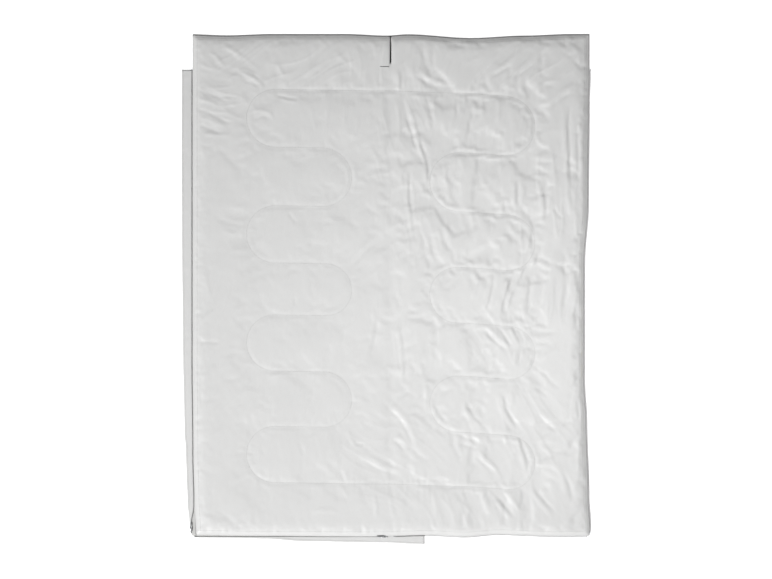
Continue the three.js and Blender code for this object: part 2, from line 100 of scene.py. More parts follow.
def new_surface(name, levels):
    """A new material and its shader, with these levels set on the shader's own sockets."""
    material = bpy.data.materials.new(name)
    material.use_nodes = True
    surface = material.node_tree.nodes["Principled BSDF"]
    for socket, level in levels.items():
        surface.inputs[socket].default_value = level
    return material, surface


paper, _ = new_surface("white_paper", {
    "Base Color": (0.9, 0.9, 0.9, 1), "Roughness": 0.9, "Specular IOR Level": 0.1,
    "Emission Color": (1, 1, 1, 1), "Emission Strength": 0.6,
})
floor.data.materials.append(paper)

# The outer shell. One charcoal water-resistant cloth lies under both halves and runs across the fold line. It
# is cut along the neck slit and pierced for the power inlet, and its rim rises to meet the zip tapes.
back_low, back_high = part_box("back_lining")
LEFT, RIGHT = back_low.x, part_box("cover_lining")[1].x
FOOT, HEAD = back_low.y, back_high.y
FOLD = (LEFT + RIGHT) / 2
fold_joint = next(joint for joint in frame["joints"] if joint["name"] == "cover_fold")
FOLD_AXIS_Z = fold_joint["pos_m"][2]
SLIT_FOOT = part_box("back_slit_binding")[0].y
inlet_low, inlet_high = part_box("inlet_housing")
INLET = (inlet_low + inlet_high) / 2
INLET_HOLE = (0.0148, 0.0088)
SHELL_T = 0.0008
SHELL_RIM_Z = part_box("back_side_zip_tape")[0].z - 0.0011
SHELL_STEP = 0.015
SHELL_OVER = 0.0015  # how far it shows past the lining at the head edge
SHELL_SLIT_GAP = 0.00005
RIM_BAND = 0.026

# How far the sewing draws each edge in, against the place along that edge.
LEFT_DRAW = [(-0.93, 0.017), (-0.89, 0.015), (-0.80, 0.010), (-0.62, 0.006), (-0.25, 0.003), (0.96, 0.003)]
RIGHT_DRAW = [(-0.93, 0.001), (-0.89, -0.001), (-0.78, 0.005), (-0.50, 0.013), (-0.35, 0.021), (0.10, 0.021),
              (0.32, 0.007), (0.70, 0.004), (0.80, 0.001), (0.96, 0.001)]
HEAD_DRAW = [(-0.76, 0.0), (-0.60, 0.005), (-0.43, 0.0), (-0.15, 0.0), (0.0, 0.006), (0.08, 0.001),
             (0.32, 0.015), (0.52, 0.006), (0.70, 0.0), (0.78, 0.0)]
FOOT_DRAW = [(-0.73, 0.004), (-0.50, 0.0), (-0.05, -0.002), (0.15, 0.003), (0.30, -0.003), (0.42, 0.006),
             (0.64, -0.001), (0.77, 0.0)]


def smooth(share):
    share = min(max(share, 0.0), 1.0)
    return share * share * (3 - 2 * share)


def run_through(points, place):
    """The value at a place on a soft line through (place, value) pairs."""
    if place <= points[0][0]:
        return points[0][1]
    for (a, low), (b, high) in zip(points, points[1:]):
        if place <= b:
            return low + (high - low) * smooth((place - a) / (b - a))
    return points[-1][1]


def left_edge(y):
    return LEFT + run_through(LEFT_DRAW, y)


def right_edge(y):
    return RIGHT - run_through(RIGHT_DRAW, y)


def head_edge(x):
    return HEAD - run_through(HEAD_DRAW, x)


def foot_edge(x):
    return FOOT + run_through(FOOT_DRAW, x)


def panel_place(across, along):
    """The place in plan at these shares across and along the open blanket."""
    y = FOOT + along * (HEAD - FOOT)
    edge = left_edge(y) if across < 0.5 else right_edge(y)
    x = FOLD + (edge - FOLD) * abs(2 * across - 1)
    return x, foot_edge(x) + along * (head_edge(x) - foot_edge(x))


def edge_distance(x, y):
    return min(x - left_edge(y), right_edge(y) - x, y - foot_edge(x), head_edge(x) - y)


SLIT_GAPS = [(0.0, 0.0010), (0.10, 0.0033), (0.30, 0.0032), (0.75, 0.0020), (1.0, 0.0013)]


def slit_half_gap(y):
    """Half the width of the neck slit: widest a little above its foot, and almost closed at the head edge."""
    return run_through(SLIT_GAPS, (y - SLIT_FOOT) / (HEAD - SLIT_FOOT))


def panel_grid(name, step):
    """A grid of cloth over both halves, parted along the neck slit. Its UV is its place in metres."""
    across = round((RIGHT - LEFT) / step / 2) * 2
    along = round((HEAD - FOOT) / step)
    bpy.ops.mesh.primitive_grid_add(x_subdivisions=across, y_subdivisions=along, size=1, calc_uvs=True)
    piece = bpy.context.object
    piece.name = name
    piece.data.name = name
    for vertex in piece.data.vertices:
        vertex.co = (*panel_place(vertex.co.x + 0.5, vertex.co.y + 0.5), 0)
    for loop in piece.data.uv_layers.active.data:
        loop.uv = (loop.uv[0] * (RIGHT - LEFT), loop.uv[1] * (HEAD - FOOT))
    mesh = bmesh.new()
    mesh.from_mesh(piece.data)
    bmesh.ops.split_edges(mesh, edges=[
        edge for edge in mesh.edges
        if all(abs(v.co.x - FOLD) < step / 10 and v.co.y > SLIT_FOOT - step / 2 for v in edge.verts)
    ])
    mesh.to_mesh(piece.data)
    mesh.free()
    return piece


def open_slit(piece, half_gap, reach):
    """Moves the cloth on each side of the slit apart, less and less over its reach."""
    mesh = bmesh.new()
    mesh.from_mesh(piece.data)
    for vertex in mesh.verts:
        if vertex.co.y > SLIT_FOOT and abs(vertex.co.x - FOLD) < reach:
            side = 1 if sum(face.calc_center_median().x - FOLD for face in vertex.link_faces) > 0 else -1
            vertex.co.x += side * half_gap(vertex.co.y) * (1 - abs(vertex.co.x - FOLD) / reach)
    mesh.to_mesh(piece.data)
    mesh.free()


def select_only(piece):
    bpy.ops.object.select_all(action="DESELECT")
    piece.select_set(True)
    bpy.context.view_layer.objects.active = piece


def apply_all(piece):
    select_only(piece)
    for modifier in list(piece.modifiers):
        bpy.ops.object.modifier_apply(modifier=modifier.name)


def thicken(piece, thickness, offset):
    layer = piece.modifiers.new("thickness", "SOLIDIFY")
    layer.thickness = thickness
    layer.offset = offset
    layer.use_even_offset = False
    apply_all(piece)


def dress(piece, material):
    piece.data.materials.clear()
    piece.data.materials.append(material)
    for face in piece.data.polygons:
        face.material_index = 0
        face.use_smooth = True


def new_node(material, kind, inputs, **settings):
    """A node with these settings. Each input is set to a value, or linked to another node's output."""
    made = material.node_tree.nodes.new("ShaderNode" + kind)
    for setting, value in settings.items():
        setattr(made, setting, value)
    for socket, value in inputs.items():
        if isinstance(value, bpy.types.NodeSocket):
            material.node_tree.links.new(value, made.inputs[socket])
        else:
            made.inputs[socket].default_value = value
    return made


def tinted(material, pattern, colour, shade, low, high):
    """A colour that is a shade darker where the pattern is low, and a shade paler where it is high."""
    tint = new_node(material, "ValToRGB", {"Fac": pattern})
    for stop, place, share in zip(tint.color_ramp.elements, (low, high), (1 - shade, 1 + shade)):
        stop.position = place
        stop.color = (*[min(channel * share, 1) for channel in colour], 1)
    return tint.outputs["Color"]


def woven(name, colour, thread, relief, shade=0.05, roughness=0.6, sheen=0.0, by_uv=False, satin=0.5):
    """A woven cloth. Bands of warp and weft one thread wide raise it, and its shade drifts a little."""
    material, surface = new_surface(name, {
        "Roughness": roughness, "Sheen Weight": sheen, "Sheen Roughness": 0.4, "Specular IOR Level": 0.35,
    })
    place = new_node(material, "TexCoord", {}).outputs["UV" if by_uv else "Object"]
    bands = []
    for direction, weight in (("X", satin), ("Y", 1 - satin)):
        wave = new_node(
            material, "TexWave",
            {"Scale": math.pi / 10 / thread, "Distortion": 0.6, "Detail": 1.0, "Vector": place},
            wave_type="BANDS", bands_direction=direction,
        )
        weighed = new_node(material, "Math", {0: wave.outputs["Fac"], 1: weight}, operation="MULTIPLY")
        bands.append(weighed.outputs[0])
    weave = new_node(material, "Math", {0: bands[0], 1: bands[1]}).outputs[0]
    drift = new_node(material, "TexNoise", {"Scale": 7, "Detail": 5, "Vector": place}).outputs["Fac"]
    both = new_node(material, "Math", {0: weave, 1: 0.25, 2: drift}, operation="MULTIPLY_ADD")
    threads = new_node(material, "Bump", {"Strength": 0.6, "Distance": relief, "Height": weave})
    links = material.node_tree.links
    links.new(tinted(material, both.outputs[0], colour, shade, 0.3, 0.9), surface.inputs["Base Color"])
    links.new(threads.outputs["Normal"], surface.inputs["Normal"])
    return material


shell_cloth = woven("charcoal_shell_cloth", (0.030, 0.031, 0.034), 0.0007, 0.00012, 0.25, 0.62, 0.15, True)


def shell_height(x, y):
    """The shell's under face: on the floor, with faint hollows, and up to the tapes at its rim."""
    edge = edge_distance(x, y)
    rise = SHELL_RIM_Z * (1 - smooth(edge / RIM_BAND)) ** 2
    inlet = math.hypot(x - INLET.x, y - INLET.y)
    hollow = 0.0011 * max(0.0, noise.noise(Vector((x * 7, y * 5, 0))) + 0.15)
    crease = 0.0004 * max(0.0, noise.noise(Vector((x * 40, y * 16, 3))))
    return rise + (hollow + crease) * smooth(edge / 0.06) * smooth((inlet - 0.03) / 0.05)


shell = panel_grid("outer_shell", SHELL_STEP)
for vertex in shell.data.vertices:
    vertex.co.y += SHELL_OVER * (1 - smooth((head_edge(vertex.co.x) - vertex.co.y) / 0.03))
open_slit(shell, lambda y: SHELL_SLIT_GAP, SHELL_STEP)

mesh = bmesh.new()
mesh.from_mesh(shell.data)
for axis, half in enumerate(INLET_HOLE):
    for side in (-1, 1):
        near = [face for face in mesh.faces if (face.calc_center_median() - INLET).xy.length < 0.06]
        parts = list({part for face in near for part in (face, *face.edges, *face.verts)})
        at, normal = INLET.copy(), Vector((0, 0, 0))
        at[axis] += side * half
        normal[axis] = 1
        bmesh.ops.bisect_plane(mesh, geom=parts, plane_co=at, plane_no=normal)
hole = [
    face for face in mesh.faces
    if all(abs((face.calc_center_median() - INLET)[axis]) < half for axis, half in enumerate(INLET_HOLE))
]
bmesh.ops.delete(mesh, geom=hole, context="FACES")
mesh.to_mesh(shell.data)
mesh.free()

for vertex in shell.data.vertices:
    vertex.co.z = shell_height(vertex.co.x, vertex.co.y)
thicken(shell, SHELL_T, 1)
dress(shell, shell_cloth)
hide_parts("back_outer_shell", "cover_outer_shell", "fold_shell_strip")
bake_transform(shell)

# The layers inside each half, from the shell up: thin aluminised film, needled insulation felt, and the
# carrier felt that the heating wire is laid on. They are cut from roll stock and lie flat, so the model's
# solids stay.
def granular(
    name, colour, roughness, metallic=0.0, grain=900, relief=0.0001, shade=0.08, specular=0.5,
    stretch=(1, 1, 1),
):
    """A surface with a fine grain in its height and its shade. Stretch draws the grain out into fibres."""
    material, surface = new_surface(name, {"Metallic": metallic, "Specular IOR Level": specular})
    place = new_node(material, "TexCoord", {}).outputs["Object"]
    place = new_node(material, "Mapping", {"Scale": stretch, "Vector": place}).outputs["Vector"]
    fine = new_node(material, "TexNoise", {"Scale": grain, "Detail": 4, "Vector": place}).outputs["Fac"]
    broad = new_node(material, "TexNoise", {"Scale": grain / 25, "Detail": 3, "Vector": place}).outputs["Fac"]
    grains = new_node(material, "Math", {0: fine, 1: 0.5, 2: broad}, operation="MULTIPLY_ADD").outputs[0]
    polish = new_node(material, "MapRange", {
        "To Min": roughness * 0.85, "To Max": min(roughness * 1.15, 1), "Value": broad,
    })
    bump = new_node(material, "Bump", {"Strength": 0.5, "Distance": relief, "Height": grains})
    links = material.node_tree.links
    links.new(tinted(material, grains, colour, shade, 0.45, 1.0), surface.inputs["Base Color"])
    links.new(polish.outputs["Result"], surface.inputs["Roughness"])
    links.new(bump.outputs["Normal"], surface.inputs["Normal"])
    return material


def finish_nodes(material, *names):
    for name in names:
        for material_slot in frame["nodes"][name].material_slots:
            material_slot.link = "OBJECT"
            material_slot.material = material


foil_film = granular("aluminised_film", (0.78, 0.79, 0.80), 0.22, 0.9, 120, 0.0004, 0.04)
insulation_felt = granular("needled_felt", (0.79, 0.76, 0.69), 0.95, 0, 700, 0.0004, 0.12, 0.2, (1, 3, 3))
carrier_felt = granular("needle_carrier_felt", (0.50, 0.48, 0.43), 0.95, 0, 900, 0.0003, 0.14, 0.2, (3, 1, 3))
for half in ("back", "cover"):
    finish_nodes(foil_film, f"{half}_reflective_foil")
    finish_nodes(insulation_felt, f"{half}_insulation_felt")
    finish_nodes(carrier_felt, f"{half}_heater_carrier")

# The heating circuit: silicone-sheathed wire in one loop of eight rows in each half, the leads from the
# inlet, and the moulded limiter, cut-out and sensor in line with them.
wire_sheath = granular("red_silicone_sheath", (0.46, 0.06, 0.03), 0.45, 0, 500, 0.00005, 0.06)
lead_sheath = granular("black_silicone_sheath", (0.04, 0.04, 0.045), 0.45, 0, 500, 0.00005, 0.10)
black_moulding = granular("black_nylon_moulding", (0.02, 0.02, 0.022), 0.5, 0, 1600, 0.00006, 0.2)
finish_nodes(wire_sheath, "back_heating_wire_upper", "back_heating_wire_lower", "cover_heating_wire")
finish_nodes(lead_sheath, "supply_lead", "return_lead", "sensor_lead")


def rounded_copy(node, radius, material, body):
    """A copy of a rigid solid with its corners rounded, which stands for it."""
    source = frame["nodes"][node]
    piece = bpy.data.objects.new(node + "_finished", source.data.copy())
    scene.collection.objects.link(piece)
    select_only(piece)
    bpy.ops.object.mode_set(mode="EDIT")
    bpy.ops.mesh.select_all(action="SELECT")
    bpy.ops.mesh.remove_doubles(threshold=1e-6)
    bpy.ops.mesh.dissolve_limited(angle_limit=math.radians(1))
    bpy.ops.object.mode_set(mode="OBJECT")
    rounding = piece.modifiers.new("rounding", "BEVEL")
    rounding.width = radius
    rounding.segments = 2
    rounding.limit_method = "ANGLE"
    rounding.angle_limit = math.radians(30)
    apply_all(piece)
    dress(piece, material)
    bpy.ops.object.shade_smooth_by_angle(angle=math.radians(40))
    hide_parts(node)
    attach(piece, body)
    return piece


CAPSULE_ROUNDING = 0.0006
rounded_copy("back_thermal_limiter", CAPSULE_ROUNDING, black_moulding, "back_half")
for capsule in ("cover_thermal_cutout", "temperature_sensor"):
    rounded_copy(capsule, CAPSULE_ROUNDING, black_moulding, "cover_half")

# The power inlet: a moulded socket clamped in the cover's outer shell on a rubber gasket, with its mouth
# flush with the cloth and three turned brass pins standing in it.
gasket_rubber = granular("black_silicone_gasket", (0.01, 0.01, 0.01), 0.75, 0, 800, 0.00005, 0.2)
turned_brass = granular("turned_brass", (0.60, 0.40, 0.10), 0.28, 1.0, 900, 0.00002, 0.05, 0.5, (1, 1, 0.05))
rounded_copy("inlet_housing", 0.0005, black_moulding, "cover_half")
rounded_copy("inlet_gasket", 0.0002, gasket_rubber, "cover_half")
for pin in (1, 2, 3):
    rounded_copy(f"inlet_pin_{pin}", 0.0004, turned_brass, "cover_half")

# The lining: one pale satin-faced cloth over both halves and across the fold line, quilted down along the
# heating wire's route and puffed by the wadding. Satin creases easily, so its long folds are part of its
# shape.
ROWS = 8
FIRST_ROW = HEAD - 0.213
ROW_PITCH = (FIRST_ROW - (FOOT + 0.196)) / (ROWS - 1)
INNER_TURN, OUTER_TURN = 0.147, 0.543
ROW_SAG = {
    -1: [0.0, 0.006, 0.015, 0.019, 0.003, 0.003, 0.0, 0.0],
    1: [0.0, 0.013, 0.024, 0.022, 0.020, 0.008, 0.008, 0.0],
}
ROW_LEAN = [(-0.50, 0.006), (0.0, 0.0), (0.25, -0.008), (0.52, -0.022)]
ROW_PULL = {
    -1: [0.95, 0.35, 0.55, 0.30, 0.55, 0.60, 0.55, 0.75],
    1: [1.0, 1.0, 0.75, 0.45, 0.45, 0.50, 0.45, 1.35],
}
TURN_PULL = {-1: [0.55, 0.60, 0.75, 0.35, 0.70, 0.75, 0.85], 1: [0.85, 0.95, 0.55, 0.35, 0.35, 0.40, 1.15]}
LINING_STEP = 0.010
LINING_T = 0.0006
PAD_LEVEL = 0.0160
HIGHEST = FOLD_AXIS_Z - 0.0004
RIM_LEVEL = 0.0053
SEAM_ALLOWANCE = 0.005
EDGE_SWELL = 0.048
LIP_DROP, LIP_SWELL = 0.0050, 0.016
GROOVE_DEPTH, GROOVE_HALF = 0.0034, 0.0055
HOLLOW_DEPTH, HOLLOW_HALF = 0.0013, 0.045
FOLD_DIP, FOLD_DIP_HALF = 0.0008, 0.02
SLIT_REACH = 0.04
SEWN_BESIDE_SEAM, SEWN_BESIDE_RIM = 0.0062, 0.012
PUCKER_RISE, PUCKER_DRIFT = 0.0024, 0.003
BACK_PUCKER, MORE_ON_COVER = 0.32, 0.53
SPARE_CLOTH = 0.025


def quilted_lines(side):
    """One half's stitching: straight runs as (inner u, outer u, row, pull), and turns as (u, y, radius)."""
    rows = [FIRST_ROW - i * ROW_PITCH - sag for i, sag in enumerate(ROW_SAG[side])]
    radii = [(rows[i] - rows[i + 1]) / 2 for i in range(ROWS - 1)]
    runs, turns = [], []
    for i, row in enumerate(rows):
        outer_radius = radii[i if i % 2 == 0 else i - 1]
        inner_radius = radii[min(i if i % 2 else i - 1, ROWS - 2)]
        inner = 0.0 if i in (0, ROWS - 1) else INNER_TURN + inner_radius
        runs.append((inner, OUTER_TURN - outer_radius, row, ROW_PULL[side][i]))
    for i, radius in enumerate(radii):
        outwards = i % 2 == 0
        centre = OUTER_TURN - radius if outwards else INNER_TURN + radius
        turns.append((centre, rows[i] - radius, radius, outwards, TURN_PULL[side][i]))
    return runs, turns


QUILTING = {side: quilted_lines(side) for side in (-1, 1)}


def nearest_seam(x, y):
    """(distance, place along it, pull) of the nearest quilted line."""
    side = -1 if x < FOLD else 1
    u = abs(x - FOLD)
    y -= run_through(ROW_LEAN, x)
    runs, turns = QUILTING[side]
    nearest = (9.0, 0.0, 0.0)
    for inner, outer, row, pull in runs:
        if abs(y - row) < nearest[0]:
            distance = math.hypot(max(inner - u, u - outer, 0.0), y - row)
            nearest = min(nearest, (distance, u + row, pull))
    for centre, middle, radius, outwards, pull in turns:
        if abs(y - middle) < 0.16 and (u >= centre) == outwards:
            distance = abs(math.hypot(u - centre, y - middle) - radius)
            if distance < nearest[0]:
                nearest = (distance, radius * math.atan2(y - middle, u - centre) + middle, pull)
    return nearest


def pad_height(x, y, seam):
    """The lining's height before it creases: rounded at rim and slit, with a groove at each line."""
    distance, along, pull = seam
    rim = min(max(edge_distance(x, y) - SEAM_ALLOWANCE, 0.0) / EDGE_SWELL, 1.0)
    swell = math.sqrt(1 - (1 - rim) ** 2)
    pull *= 0.8 + 0.5 * noise.noise(Vector((along * 14, 0, 7)))
    groove = GROOVE_DEPTH * math.exp(-distance / GROOVE_HALF)
    groove += HOLLOW_DEPTH * math.exp(-((distance / HOLLOW_HALF) ** 2))
    groove *= pull
    height = RIM_LEVEL + (PAD_LEVEL - RIM_LEVEL - groove) * swell
    if y > SLIT_FOOT - LIP_SWELL:
        away = math.hypot(x - FOLD, max(SLIT_FOOT - y, 0.0)) / LIP_SWELL
        height -= LIP_DROP * swell * (1 - math.sqrt(1 - (1 - min(away, 1.0)) ** 2))
    return height - FOLD_DIP * swell * math.exp(-(((x - FOLD) / FOLD_DIP_HALF) ** 2))


lining = panel_grid("quilted_lining", LINING_STEP)
open_slit(lining, slit_half_gap, SLIT_REACH)
for vertex in lining.data.vertices:
    x, y = vertex.co.x, vertex.co.y
    vertex.co.z = pad_height(x, y, nearest_seam(x, y))


def pucker(piece, frames=20):
    """Lets the cloth, cut a little larger than its pad, settle between its sewn lines."""
    rest = [vertex.co.copy() for vertex in piece.data.vertices]
    sewn = piece.vertex_groups.new(name="sewn")
    sewn.add([
        vertex.index for vertex in piece.data.vertices
        if nearest_seam(vertex.co.x, vertex.co.y)[0] < SEWN_BESIDE_SEAM
        or edge_distance(vertex.co.x, vertex.co.y) < SEWN_BESIDE_RIM
    ], 1.0, "REPLACE")
    for vertex in piece.data.vertices:
        vertex.co.z += 0.0004 * noise.noise(vertex.co * 45)
    cloth = piece.modifiers.new("cloth", "CLOTH")
    settings = cloth.settings
    settings.quality = 4
    settings.mass = 0.2
    settings.tension_stiffness = 25
    settings.compression_stiffness = 18
    settings.shear_stiffness = 8
    settings.bending_stiffness = 0.05
    settings.air_damping = 3
    settings.shrink_min = settings.shrink_max = -SPARE_CLOTH
    settings.vertex_group_mass = "sewn"
    settings.use_pressure = True
    settings.uniform_pressure_force = 0.15
    settings.effector_weights.gravity = 0
    cloth.point_cache.frame_start = 1
    cloth.point_cache.frame_end = frames
    for step in range(1, frames + 1):
        scene.frame_set(step)
    apply_all(piece)
    piece.vertex_groups.clear()
    for vertex, start in zip(piece.data.vertices, rest):
        move = vertex.co - start
        share = BACK_PUCKER + MORE_ON_COVER * smooth((start.x - FOLD + 0.15) / 0.4)
        move.z = min(max(move.z, -PUCKER_RISE), PUCKER_RISE)
        sideways = max(math.hypot(move.x, move.y) / PUCKER_DRIFT, 1.0)
        vertex.co = start + Vector((move.x / sideways, move.y / sideways, move.z)) * share


pucker(lining)

finer = lining.modifiers.new("finer", "SUBSURF")
finer.levels = finer.render_levels = 1
apply_all(lining)

